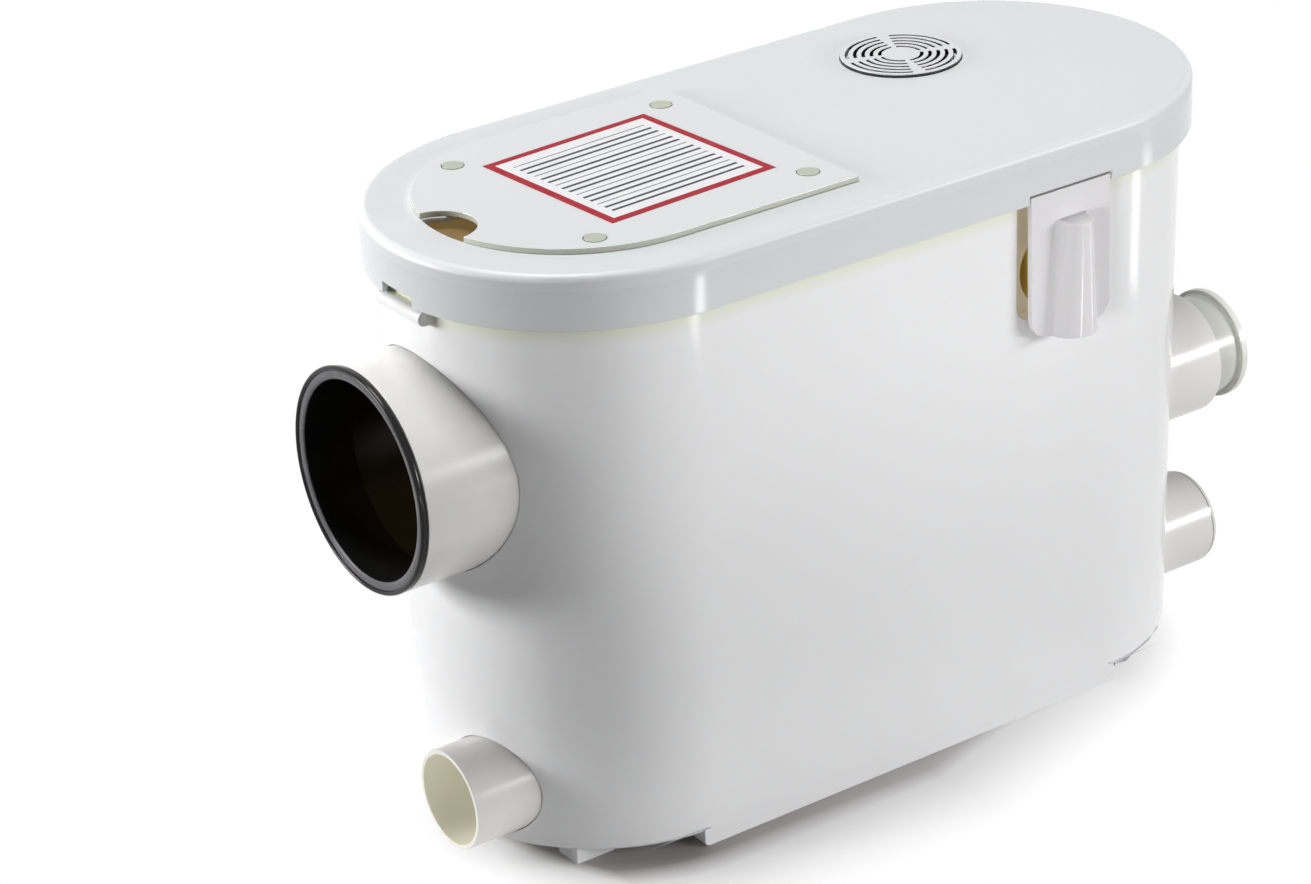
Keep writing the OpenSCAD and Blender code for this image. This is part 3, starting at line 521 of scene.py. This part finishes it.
@dataclass(frozen=True)
class SpigotPlastic(MouldedPlastic):
    """Pipe plastic, cream coloured with a painted glow inside the small bores, painted near black as shade
    inside the soil spigot, and with a darker ring near the outlet's mouth.
    """

    cream: Colour = (0.66, 0.64, 0.53)
    cream_painted_glow: float = 0.25
    axis: Pair = (-29 * MM, 36.3 * MM)
    bore_r: float = 23.4 * MM
    # A darker ring painted round the outlet spigot near its mouth.
    dark_ring: Colour = (0.3, 0.3, 0.28)
    dark_ring_x: Pair = (231.6 * MM, 232.5 * MM)
    soil_axis: Pair = (0.0, 199 * MM)
    soil_bore_r: float = 52.3 * MM
    # A painted shade: the soil spigot's bore is painted near black where it lies in shade.
    soil_painted_shade: Colour = (0.006, 0.005, 0.004)

    def bore(self, sheet: Sheet, axis: Pair, radius: float) -> Socket:
        """Gives 1 inside a bore that runs along X, and 0 elsewhere.

        Args:
            sheet: The material in the making.
            axis: The bore's Y and Z.
            radius: The bore's radius.

        Returns:
            The mask's socket.
        """
        _, y, z = sheet.axes()
        across = sheet.square(sheet.math("SUBTRACT", y, axis[0]))
        up = sheet.square(sheet.math("SUBTRACT", z, axis[1]))
        return sheet.math("LESS_THAN", sheet.math("ADD", across, up), radius**2)

    def material(self) -> bpy.types.Material:
        """Makes the material."""
        sheet = Sheet(self.name)
        x, _, _ = sheet.axes()
        inside = self.bore(sheet, self.axis, self.bore_r)
        left = sheet.math("LESS_THAN", x, 0.0)
        soil = sheet.both(self.bore(sheet, self.soil_axis, self.soil_bore_r), left)
        # Painted glow: the cream inside the small bores lights itself, standing in for light through the thin
        # plastic.
        sheet.painted_glow(inside, self.cream, self.cream_painted_glow)
        tone = sheet.mix(sheet.within(x, *self.dark_ring_x), self.base(sheet), self.dark_ring)
        # Painted shade inside the soil spigot's bore.
        tone = sheet.mix(soil, tone, self.soil_painted_shade)
        return self.dress(sheet, sheet.mix(inside, tone, self.cream))


@dataclass(frozen=True)
class Rubber:
    """Moulded rubber with a fine bloom."""

    name: str
    colour: Colour
    roughness: float = 0.3
    wear: Pair = (0.8, 1.4)
    bloom_share: float = 1.8
    bloom_lift: float = 0.004
    specular: float = 0.22
    grain: float = 0.02 * MM

    def material(self) -> bpy.types.Material:
        """Makes the material."""
        sheet = Sheet(self.name)
        bloom = tuple(part * self.bloom_share + self.bloom_lift for part in self.colour)
        sheet.colour(sheet.mix(sheet.cloud(40.0, 4.0, middle=(0.35, 0.75)), self.colour, bloom))
        sheet.rough(sheet.cloud(90.0, 3.0, tuple(self.roughness * share for share in self.wear)))
        sheet.set(Specular_IOR_Level=self.specular)
        sheet.bump((sheet.noise(700.0, 3.0), self.grain))
        return sheet.material


@dataclass(frozen=True)
class Metal:
    """Bare or painted metal with fine lines along one way."""

    name: str
    colour: Colour
    roughness: float = 0.3
    metallic: float = 1.0
    lines: Point = (90.0, 90.0, 1400.0)
    dark_share: float = 0.8
    wear: Pair = (0.8, 1.3)
    middle: Pair = (0.3, 0.7)
    grain: float = 0.02 * MM

    def material(self) -> bpy.types.Material:
        """Makes the material."""
        sheet = Sheet(self.name)
        mapping = sheet.add("ShaderNodeMapping")
        mapping.inputs["Scale"].default_value = self.lines
        sheet.join(sheet.place, mapping.inputs["Vector"])
        noise = sheet.add("ShaderNodeTexNoise")
        noise.inputs["Scale"].default_value = 1.0
        sheet.join(mapping.outputs["Vector"], noise.inputs["Vector"])
        grain = noise.outputs["Fac"]
        sheet.colour(sheet.mix(grain, shade(self.colour, self.dark_share), self.colour))
        sheet.rough(sheet.span(grain, *self.middle, *(self.roughness * share for share in self.wear)))
        sheet.set(Metallic=self.metallic)
        sheet.bump((grain, self.grain))
        return sheet.material


@dataclass(frozen=True)
class FilterPad:
    """A pad of charcoal granules."""

    name: str
    colour: Colour
    granules: float = 650.0
    light_share: float = 2.5
    roughness: float = 0.95
    relief: float = 0.4 * MM

    def material(self) -> bpy.types.Material:
        """Makes the material."""
        sheet = Sheet(self.name)
        granule = sheet.cells(self.granules)
        sheet.colour(sheet.mix(granule, shade(self.colour, self.light_share), self.colour))
        sheet.set(Roughness=self.roughness)
        sheet.bump((granule, self.relief))
        return sheet.material


@dataclass(frozen=True)
class Paper:
    """Printed sticker stock in one colour, with thin ruled lines where rows are given."""

    name: str
    colour: Colour
    centre: Pair = (0.0, 0.0)
    turn: float = 0.0
    half: Pair = (0.0, 0.0)
    rows: int = 0
    ink: Colour = (0.035, 0.035, 0.04)
    rule: float = 0.7 * MM
    thin_share: float = 0.5
    bold_share: float = 0.8
    group: float = 3.0
    bold_rows: float = 1.5
    worn_share: float = 0.93
    roughness: Pair = (0.38, 0.5)
    specular: float = 0.12
    grain: float = 0.01 * MM

    def lines(self, sheet: Sheet) -> Socket:
        """Rules lines across the sticker, two bold ones and a thin one in turn.

        Args:
            sheet: The material in the making.

        Returns:
            Where the ink lies.
        """
        mapping = sheet.add("ShaderNodeMapping", vector_type="TEXTURE")
        mapping.inputs["Location"].default_value = (*self.centre, 0.0)
        mapping.inputs["Rotation"].default_value = (0.0, 0.0, self.turn)
        sheet.join(sheet.place, mapping.inputs["Vector"])
        x, y, _ = sheet.parts(mapping.outputs["Vector"])
        pitch = 2.0 * self.half[1] / self.rows
        row = sheet.math("DIVIDE", sheet.math("ADD", y, self.half[1]), pitch)
        near = sheet.math("ABSOLUTE", sheet.math("SUBTRACT", sheet.math("FRACT", row), 0.5))
        turn = sheet.math("MODULO", sheet.math("FLOOR", row), self.group)
        bold = sheet.math("LESS_THAN", turn, self.bold_rows)
        reach = sheet.math("MULTIPLY_ADD", bold, self.rule * self.bold_share / pitch)
        reach.node.inputs[2].default_value = self.rule * self.thin_share / pitch
        across = sheet.within(x, -self.half[0], self.half[0])
        along = sheet.within(y, -self.half[1], self.half[1])
        return sheet.both(sheet.math("LESS_THAN", near, reach), across, along)

    def material(self) -> bpy.types.Material:
        """Makes the material."""
        sheet = Sheet(self.name)
        worn = shade(self.colour, self.worn_share)
        tone = sheet.mix(sheet.cloud(120.0, 3.0, middle=(0.35, 0.7)), self.colour, worn)
        if self.rows:
            tone = sheet.mix(self.lines(sheet), tone, self.ink)
        sheet.colour(tone)
        sheet.rough(sheet.cloud(220.0, 2.0, self.roughness))
        sheet.set(Specular_IOR_Level=self.specular)
        sheet.bump((sheet.noise(900.0), self.grain))
        return sheet.material


LID_WHITE = (0.68, 0.7, 0.71)
COVER_WHITE = (0.69, 0.71, 0.72)
FINISHES = {
    finish.name: finish
    for finish in (
        TankPlastic("tank_plastic", (0.85, 0.85, 0.86), specks=True),
        LidPlastic("lid_plastic", LID_WHITE, specks=True),
        MouldedPlastic("cover_plastic", COVER_WHITE),
        # The cover's side wall below its top is painted olive grey, a painted shade in the gap round the
        # cover.
        EdgedPlastic("cover_edge", COVER_WHITE, level=311.25 * MM, painted_light_and_shade=(0.5, 0.515, 0.44)),
        # The port cover's inner side is painted amber, standing in for amber light from inside the tank.
        EdgedPlastic(
            "port_painted_light", (0.74, 0.728, 0.742), side=Side.INWARD, level=-93 * MM, painted_light_and_shade=(0.69, 0.52, 0.13)
        ),
        # The grille below its top is painted near black, a painted shade in its slots.
        EdgedPlastic("grille_painted_shade", LID_WHITE, level=309.9 * MM, painted_light_and_shade=(0.012, 0.012, 0.012)),
        MouldedPlastic("screw_plastic", (0.46, 0.485, 0.4), 0.4, 0.08, Flow.NARROW),
        SpigotPlastic("spigot_plastic", (0.79, 0.78, 0.76), 0.2, flow=Flow.NARROW),
        # The plug's band left of its flange is painted darker: partly its own greener tone, partly a painted
        # shade behind the socket's rim.
        EdgedPlastic(
            "plug_plastic", (0.78, 0.78, 0.74), 0.25, flow=Flow.NARROW,
            side=Side.LEFT, level=246.6 * MM, painted_light_and_shade=(0.6, 0.61, 0.56),
        ),
        Rubber("black_rubber", (0.006, 0.006, 0.006), 0.16),
        Rubber("grey_rubber", (0.05, 0.05, 0.05), 0.5),
        # The seal's face ring is a lighter grey than the black rubber, a painted sheen on its face.
        Rubber("seal_lip", (0.088, 0.085, 0.092), 0.25),
        # The amber plastic carries a painted glow at full strength, standing in for light coming through it.
        MouldedPlastic("amber_plastic", (0.13, 0.086, 0.032), 0.4, 0.12, Flow.NARROW, glow=0.0, painted_glow=1.0),
        MouldedPlastic("black_plastic", (0.02, 0.02, 0.021), 0.45, 0.2, Flow.NARROW, glow=0.0),
        MouldedPlastic("red_plastic", (0.4, 0.04, 0.03), 0.4, 0.1, Flow.NARROW, glow=0.0),
        MouldedPlastic("ivory_plastic", (0.68, 0.65, 0.55), 0.4, 0.05, Flow.NARROW),
        FilterPad("charcoal", (0.006, 0.006, 0.006)),
        Metal("steel", (0.56, 0.56, 0.57)),
        Metal("laminations", (0.22, 0.22, 0.23), 0.5),
        Metal("motor_casting", (0.5, 0.5, 0.52), 0.5, lines=(500.0, 500.0, 500.0)),
        Metal("motor_paint", (0.1, 0.17, 0.26), 0.4, 0.0, (300.0, 300.0, 300.0)),
        Metal("copper_wire", (0.6, 0.26, 0.1), 0.35, lines=(300.0, 300.0, 1800.0)),
        Metal("capacitor_can", (0.6, 0.61, 0.63), 0.35),
    )
}


class Workshop:
    """Makes each finish once and puts softened copies and finishes on the pump's nodes."""

    weld: float = 0.01 * MM
    flat: float = math.radians(0.05)
    round_faces: int = 2

    def __init__(self) -> None:
        """Reads which slot each node takes its finish from and which body it rides on."""
        record = frame["record"]
        self.materials: dict[str, bpy.types.Material] = {}
        self.done: set[str] = set()
        self.special = {
            "vent_grille": "grille_painted_shade", "access_cover": "cover_edge", "port_cover": "port_painted_light",
        }
        self.slots = {part["node"]: part["material_slot"] for part in record["subparts"]}
        self.riders = {node: body for body, nodes in record["behaviour"]["bodies"].items() for node in nodes}

    def finish(self, slot: str) -> bpy.types.Material:
        """Gives a slot's material, made at its first use."""
        if slot not in self.materials:
            self.materials[slot] = FINISHES[slot].material()
        return self.materials[slot]

    def coat(self, piece: bpy.types.Object, slot: str, finish: str = "") -> None:
        """Puts one finish on the whole of a piece.

        Args:
            piece: The mesh object.
            slot: The slot that the piece takes.
            finish: The finish, where it isn't the slot's own.
        """
        piece.data.materials.clear()
        piece.data.materials.append(self.finish(finish or slot))

    def copy(self, node: str) -> bpy.types.Object:
        """Makes a clean copy of a node's mesh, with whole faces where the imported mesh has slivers.

        Args:
            node: The node's name.

        Returns:
            The copy, free of its parent and of the node's marks.
        """
        pick(frame["nodes"][node])
        bpy.ops.object.duplicate()
        piece = bpy.context.active_object
        bpy.ops.object.parent_clear(type="CLEAR_KEEP_TRANSFORM")
        for key in list(piece.keys()):
            del piece[key]
        piece.name = piece.data.name = node + "_moulding"
        with editing(piece):
            bpy.ops.mesh.remove_doubles(threshold=self.weld)
            bpy.ops.mesh.dissolve_degenerate(threshold=self.weld)
            bpy.ops.mesh.customdata_custom_splitnormals_clear()
            bpy.ops.mesh.dissolve_limited(angle_limit=self.flat)
        return piece

    def stand_in(self, piece: bpy.types.Object, node: str, edge: float, angle: float = CREASE) -> None:
        """Rounds a copy's edges, gives it its finish and stands it in for the node.

        Args:
            piece: The copy.
            node: The node's name.
            edge: The width of the rounding in metres.
            angle: Edges sharper than this many degrees are rounded.
        """
        apply_modifier(
            piece, "soft_edges", "BEVEL",
            limit_method="ANGLE", angle_limit=math.radians(angle), width=edge, segments=self.round_faces,
            use_clamp_overlap=False,
        )
        smooth(piece, angle)
        self.coat(piece, self.slots[node], self.special.get(node, ""))
        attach(piece, self.riders[node])
        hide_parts(node)
        self.done.add(node)
        LOG.info("softened %s", node)

    def soften(self, node: str, edge: float, angle: float = CREASE) -> None:
        """Stands a copy with rounded edges in for a node.

        Args:
            node: The node's name.
            edge: The width of the rounding in metres.
            angle: Edges sharper than this many degrees are rounded.
        """
        self.stand_in(self.copy(node), node, edge, angle)

    def dress(self, node: str) -> None:
        """Puts the finish of its slot on a node that keeps its own shape."""
        piece = frame["nodes"][node]
        material = self.finish(self.slots[node])
        if not piece.material_slots:
            piece.data.materials.append(material)
        for place in piece.material_slots:
            place.material = material
        self.done.add(node)
        LOG.info("dressed %s", node)


@dataclass(frozen=True)
class LipRing:
    """One ring of the soil seal's lip: its finish, its two radii and its height for its width."""

    finish: str
    major: float
    minor: float
    squash: float


@dataclass
class TankShell:
    """The tank with its spigots and seal."""

    shop: Workshop
    shell_edge: float = 0.8 * MM
    pipe_edge: float = 0.55 * MM
    lipped_edge: float = 0.15 * MM
    seal_edge: float = 0.2 * MM
    soil_z: float = 199 * MM
    rings: tuple[LipRing, ...] = (
        # The first ring's grey is a painted sheen on the black rubber.
        LipRing("seal_lip", 51.0 * MM, 2.2 * MM, 0.35),
        LipRing("black_rubber", 53.9 * MM, 1.25 * MM, 1.3),
    )
    ring_faces: int = 192
    bead_faces: int = 20
    step_x: float = 214.94 * MM
    step_near: float = 0.1 * MM
    step_back: float = 18.9 * MM

    def build(self) -> None:
        """Softens the tank and what is let into its ends."""
        self.shop.soften("tank", self.shell_edge)
        for node in ("soil_spigot", "spare_socket", "blanking_plug"):
            self.shop.soften(node, self.pipe_edge)
        for node, edge in (("inlet_spigot", self.pipe_edge), ("outlet_spigot", self.lipped_edge)):
            piece = self.shop.copy(node)
            self.level(piece)
            self.shop.stand_in(piece, node, edge)
        self.shop.soften("soil_seal", self.seal_edge)
        self.lip()

    def lip(self) -> bpy.types.Object:
        """Models the soil seal's double lip, a flat grey ring inside a round black bead, the ring's grey a
        painted sheen.

        Returns:
            The two rings as one piece.
        """
        made = []
        for ring in self.rings:
            pick()
            bpy.ops.mesh.primitive_torus_add(
                location=(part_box("soil_seal")[0].x, 0.0, self.soil_z), rotation=(0.0, math.pi / 2, 0.0),
                major_segments=self.ring_faces, minor_segments=self.bead_faces,
                major_radius=ring.major, minor_radius=ring.minor,
            )
            piece = bpy.context.active_object
            piece.scale.z = ring.squash
            bpy.ops.object.transform_apply(location=True, rotation=True, scale=True)
            piece.data.materials.append(self.shop.finish(ring.finish))
            made.append(piece)
        pick(*made)
        bpy.ops.object.join()
        piece = bpy.context.active_object
        piece.name = piece.data.name = "soil_seal_lip"
        smooth(piece)
        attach(piece, Rider.TANK.value)
        LOG.info("made %s", piece.name)
        return piece

    def level(self, piece: bpy.types.Object) -> None:
        """Draws the step at a small spigot's root back into the tank's wall, as the photo shows none.

        Args:
            piece: The copy of a spigot, before its edges are rounded.
        """
        with editing(piece):
            bpy.ops.mesh.select_mode(type="VERT")
            bpy.ops.mesh.select_all(action="DESELECT")
        for vertex in piece.data.vertices:
            vertex.select = abs(abs(vertex.co.x) - self.step_x) < self.step_near
        inward = -math.copysign(self.step_back, piece.data.vertices[0].co.x)
        bpy.ops.object.mode_set(mode="EDIT")
        bpy.ops.transform.translate(value=(inward, 0.0, 0.0))
        bpy.ops.object.mode_set(mode="OBJECT")


@dataclass
class LidSet:
    """The lid with its vent."""

    shop: Workshop
    lid_edge: float = 0.6 * MM
    # The lid's fillet is left as it is, and only its right angles are rounded.
    lid_crease: float = 60.0
    vent_edge: float = 0.12 * MM

    def build(self) -> None:
        """Softens the lid and the grille."""
        self.shop.soften("lid", self.lid_edge, self.lid_crease)
        self.shop.soften("vent_grille", self.vent_edge)


@dataclass
class AccessCover:
    """The access cover with its screws and its plain sticker."""

    shop: Workshop
    cover_edge: float = 0.45 * MM
    screw_edge: float = 0.3 * MM
    label_size: Pair = (97 * MM, 98 * MM)
    label_centre: Pair = (-92 * MM, 1.6 * MM)
    label_turn: float = math.radians(3.4)
    label_t: float = 0.22 * MM
    border: float = 4.2 * MM
    margin: float = 9.24 * MM
    rows: int = 15
    white: Colour = (0.82, 0.82, 0.83)
    red: Colour = (0.36, 0.006, 0.02)

    def build(self) -> None:
        """Softens the cover and its screws and lays the sticker on it."""
        self.shop.soften("access_cover", self.cover_edge)
        self.shop.soften("cover_screws", self.screw_edge)
        self.label()

    def label(self) -> bpy.types.Object:
        """Makes the plain sticker with its red border.

        Returns:
            The sticker.
        """
        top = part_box("access_cover")[1].z
        pick()
        bpy.ops.mesh.primitive_plane_add(
            size=1.0, location=(*self.label_centre, top), rotation=(0.0, 0.0, self.label_turn)
        )
        piece = bpy.context.active_object
        piece.name = piece.data.name = "cover_sticker"
        piece.scale = (*self.label_size, 1.0)
        bpy.ops.object.transform_apply(location=True, rotation=True, scale=True)
        with editing(piece):
            bpy.ops.mesh.extrude_region_move(TRANSFORM_OT_translate={"value": (0.0, 0.0, self.label_t)})
            bpy.ops.mesh.inset(thickness=self.border)
        inner = max(piece.data.polygons, key=lambda face: face.area * (face.normal.z > 0.5))
        half = tuple(size / 2 - self.margin for size in self.label_size)
        paper = Paper("sticker_white", self.white, self.label_centre, self.label_turn, half, self.rows)
        border = Paper("sticker_red", self.red)
        piece.data.materials.append(border.material())
        piece.data.materials.append(paper.material())
        inner.material_index = 1
        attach(piece, Rider.COVER.value)
        LOG.info("made %s", piece.name)
        return piece


@dataclass
class LeadPort:
    """The cover of the lead port."""

    shop: Workshop
    edge: float = 0.15 * MM

    def build(self) -> None:
        """Softens the port cover."""
        self.shop.soften("port_cover", self.edge)


@dataclass
class Works:
    """The deck, motor, pump, valves and switch inside the tank."""

    shop: Workshop
    edge: float = 0.4 * MM
    softened: tuple[str, ...] = (
        "inner_deck", "motor_flange", "motor_can", "motor_cap", "run_capacitor", "capacitor_cup",
        "pressure_switch", "terminal_block", "micro_switch",
    )

    def build(self) -> None:
        """Softens what shows under the lifted lid and dresses all that is left."""
        for node in self.softened:
            self.shop.soften(node, self.edge)
        for node in frame["nodes"]:
            if node not in self.shop.done:
                self.shop.dress(node)


@dataclass(frozen=True)
class Lamp:
    """One soft lamp with a flat face."""

    name: str
    place: Point
    aim: Point
    width: float
    height: float
    power: float
    spread: float = math.pi

    def build(self) -> None:
        """Hangs the lamp and turns it to its aim."""
        data = bpy.data.lights.new(self.name, "AREA")
        data.shape = "RECTANGLE"
        data.size = self.width
        data.size_y = self.height
        data.energy = self.power
        data.spread = self.spread
        lamp = bpy.data.objects.new(self.name, data)
        bpy.context.scene.collection.objects.link(lamp)
        lamp.location = self.place
        lamp.rotation_euler = (Vector(self.aim) - Vector(self.place)).to_track_quat("-Z", "Y").to_euler()


@dataclass
class Studio:
    """A pale floor, soft lamps and the camera at the photograph's place."""

    azimuth: float = math.radians(-34.5)
    elevation: float = math.radians(25.42)
    roll: float = math.radians(-2.56)
    distance: float = 1.86313
    target: Point = (-0.12504, -0.05851, 0.20134)
    sensor: float = 36.0
    lens: float = 110.46
    floor_size: float = 9.0
    floor_roughness: float = 0.9
    floor_specular: float = 0.1
    # The tank's footprint, which the shadow follows.
    tank_end: float = 121.5 * MM
    tank_r: float = 97 * MM
    # How far the shadow reaches, how it narrows to the right and where it ends on the left.
    far: float = 0.065
    lean: float = 0.32
    left_end: float = -0.175
    # The painted shadow, a dark band on the floor at the foot, and where along X it fades.
    foot: float = 0.016
    lee: Pair = (-0.14, 0.3)
    # The floor's colours as seen, the darker one a painted shadow at the foot, and as it lights the pump near
    # it and away from it.
    pale: Colour = (0.97, 0.96, 0.955)
    foot_painted_shadow: Colour = (0.46, 0.425, 0.42)
    dull: Colour = (0.75, 0.75, 0.75)
    dim: Colour = (0.08, 0.08, 0.08)
    world: float = 0.0
    lamps: tuple[Lamp, ...] = (
        Lamp("left_softbox", (-1.52, 0.88, 0.53), (0.0, 0.0, 0.15), 0.7, 0.5, 28.0),
        Lamp("right_softbox", (1.196, -1.425, 0.56), (0.0, 0.0, 0.15), 1.0, 0.26, 22.0),
        Lamp("top_softbox", (-0.25, 0.6, 3.2), (0.0, 0.0, 0.2), 1.2, 1.2, 81.0),
        Lamp("front_fill", (-0.414, -1.543, 0.066), (0.0, 0.0, 0.15), 0.5, 0.2, 3.5),
        Lamp("port_fill", (-0.56, -0.42, 0.3), (0.09, -0.1, 0.25), 0.2, 0.2, 0.1, math.radians(30.0)),
        Lamp("right_strip", (0.446, -0.26, 0.105), (0.137, -0.096, 0.25), 0.05, 0.09, 0.055),
        Lamp("front_strip", (0.115, -0.53, 0.068), (-0.14, -0.1, 0.27), 0.045, 0.055, 0.08),
    )

    def build(self) -> None:
        """Makes the floor, the lamps, the world and the camera."""
        self.floor()
        for lamp in self.lamps:
            lamp.build()
        self.surroundings()
        self.camera()

    def reach(self, sheet: Sheet, x: Socket, y: Socket) -> Socket:
        """Measures how far a place on the floor lies outside the tank's foot, and more so to the right.

        Args:
            sheet: The floor's material in the making.
            x: The place's X.
            y: The place's Y.

        Returns:
            The distance in metres.
        """
        along = sheet.math("MAXIMUM", sheet.math("SUBTRACT", sheet.math("ABSOLUTE", x), self.tank_end), 0.0)
        off = sheet.math("SQRT", sheet.math("ADD", sheet.square(along), sheet.square(y)))
        right = sheet.math("MULTIPLY", sheet.math("MAXIMUM", x, 0.0), self.lean)
        return sheet.math("ADD", sheet.math("SUBTRACT", off, self.tank_r), right)

    def floor(self) -> None:
        """Lays a pale floor that is plain white away from the pump and keeps its shadow near it, with a
        painted shadow along the tank's foot.
        """
        pick()
        bpy.ops.mesh.primitive_plane_add(size=self.floor_size, location=(0.0, 0.0, 0.0))
        floor = bpy.context.active_object
        floor.name = "studio_floor"
        sheet = Sheet("studio_floor")
        sheet.set(Roughness=self.floor_roughness, Specular_IOR_Level=self.floor_specular)
        seen = self.sight(sheet.tree)
        x, y, _ = sheet.axes()
        reach = self.reach(sheet, x, y)
        lit = sheet.mix(sheet.span(reach, self.far, 2.0 * self.far), self.dull, self.dim)
        beyond = sheet.math("MAXIMUM", sheet.math("SUBTRACT", self.left_end, x), 0.0)
        reach = sheet.math("ADD", reach, beyond)
        # Painted shadow: the floor seen by the camera is darkened along the tank's foot.
        clear = sheet.math("MAXIMUM", sheet.span(reach, 0.0, self.foot), sheet.span(x, *self.lee))
        shown = sheet.mix(clear, self.foot_painted_shadow, self.pale)
        sheet.colour(sheet.mix(seen, lit, shown))
        fade = sheet.span(reach, 0.0, self.far)
        glow = sheet.add("ShaderNodeEmission")
        mixer = sheet.add("ShaderNodeMixShader")
        sheet.join(sheet.both(seen, fade), mixer.inputs[0])
        sheet.join(sheet.shader.outputs[0], mixer.inputs[1])
        sheet.join(glow.outputs[0], mixer.inputs[2])
        sheet.join(mixer.outputs[0], sheet.output.inputs[0])
        floor.data.materials.append(sheet.material)

    def sight(self, tree: bpy.types.NodeTree) -> Socket:
        """Tells the rays that show the background, straight or mirrored, from those that carry light.

        Args:
            tree: The node tree of the floor or the world.

        Returns:
            A socket that is 1 for a ray that shows the background.
        """
        path = tree.nodes.new("ShaderNodeLightPath")
        seen = path.outputs["Is Camera Ray"]
        for kind in ("Is Glossy Ray", "Is Transmission Ray"):
            either = tree.nodes.new("ShaderNodeMath")
            either.operation = "MAXIMUM"
            tree.links.new(seen, either.inputs[0])
            tree.links.new(path.outputs[kind], either.inputs[1])
            seen = either.outputs[0]
        return seen

    def surroundings(self) -> None:
        """Gives the world a plain level, and white where it is seen."""
        scene = bpy.context.scene
        scene.world = scene.world or bpy.data.worlds.new("studio")
        scene.world.use_nodes = True
        tree = scene.world.node_tree
        tree.nodes.clear()
        light = tree.nodes.new("ShaderNodeBackground")
        light.inputs["Strength"].default_value = self.world
        white = tree.nodes.new("ShaderNodeBackground")
        white.inputs["Color"].default_value = (1.0, 1.0, 1.0, 1.0)
        white.inputs["Strength"].default_value = 1.0
        mixer = tree.nodes.new("ShaderNodeMixShader")
        output = tree.nodes.new("ShaderNodeOutputWorld")
        tree.links.new(self.sight(tree), mixer.inputs[0])
        tree.links.new(light.outputs[0], mixer.inputs[1])
        tree.links.new(white.outputs[0], mixer.inputs[2])
        tree.links.new(mixer.outputs[0], output.inputs[0])
        scene.view_settings.view_transform = "Standard"

    def camera(self) -> None:
        """Puts the camera where the photograph was taken from."""
        az, el, roll = self.azimuth, self.elevation, self.roll
        back = Vector((math.cos(el) * math.sin(az), -math.cos(el) * math.cos(az), math.sin(el)))
        level = Vector((math.cos(az), math.sin(az), 0.0))
        above = back.cross(level)
        right = level * math.cos(roll) + above * math.sin(roll)
        up = above * math.cos(roll) - level * math.sin(roll)
        data = bpy.data.cameras.new("photo_camera")
        data.sensor_width = self.sensor
        data.sensor_fit = "HORIZONTAL"
        data.lens = self.lens
        camera = bpy.data.objects.new("photo_camera", data)
        bpy.context.scene.collection.objects.link(camera)
        turn = Matrix((right, up, back)).transposed().to_4x4()
        camera.matrix_world = Matrix.Translation(Vector(self.target) + self.distance * back) @ turn
        bpy.context.scene.camera = camera


def main() -> None:
    """Builds the sub-assemblies in order."""
    logging.basicConfig(level=logging.INFO, format="%(message)s")
    shop = Workshop()
    for assembly in (TankShell(shop), LidSet(shop), AccessCover(shop), LeadPort(shop), Works(shop), Studio()):
        assembly.build()
        LOG.info("built %s", type(assembly).__name__)


if __name__ == "__main__":
    main()
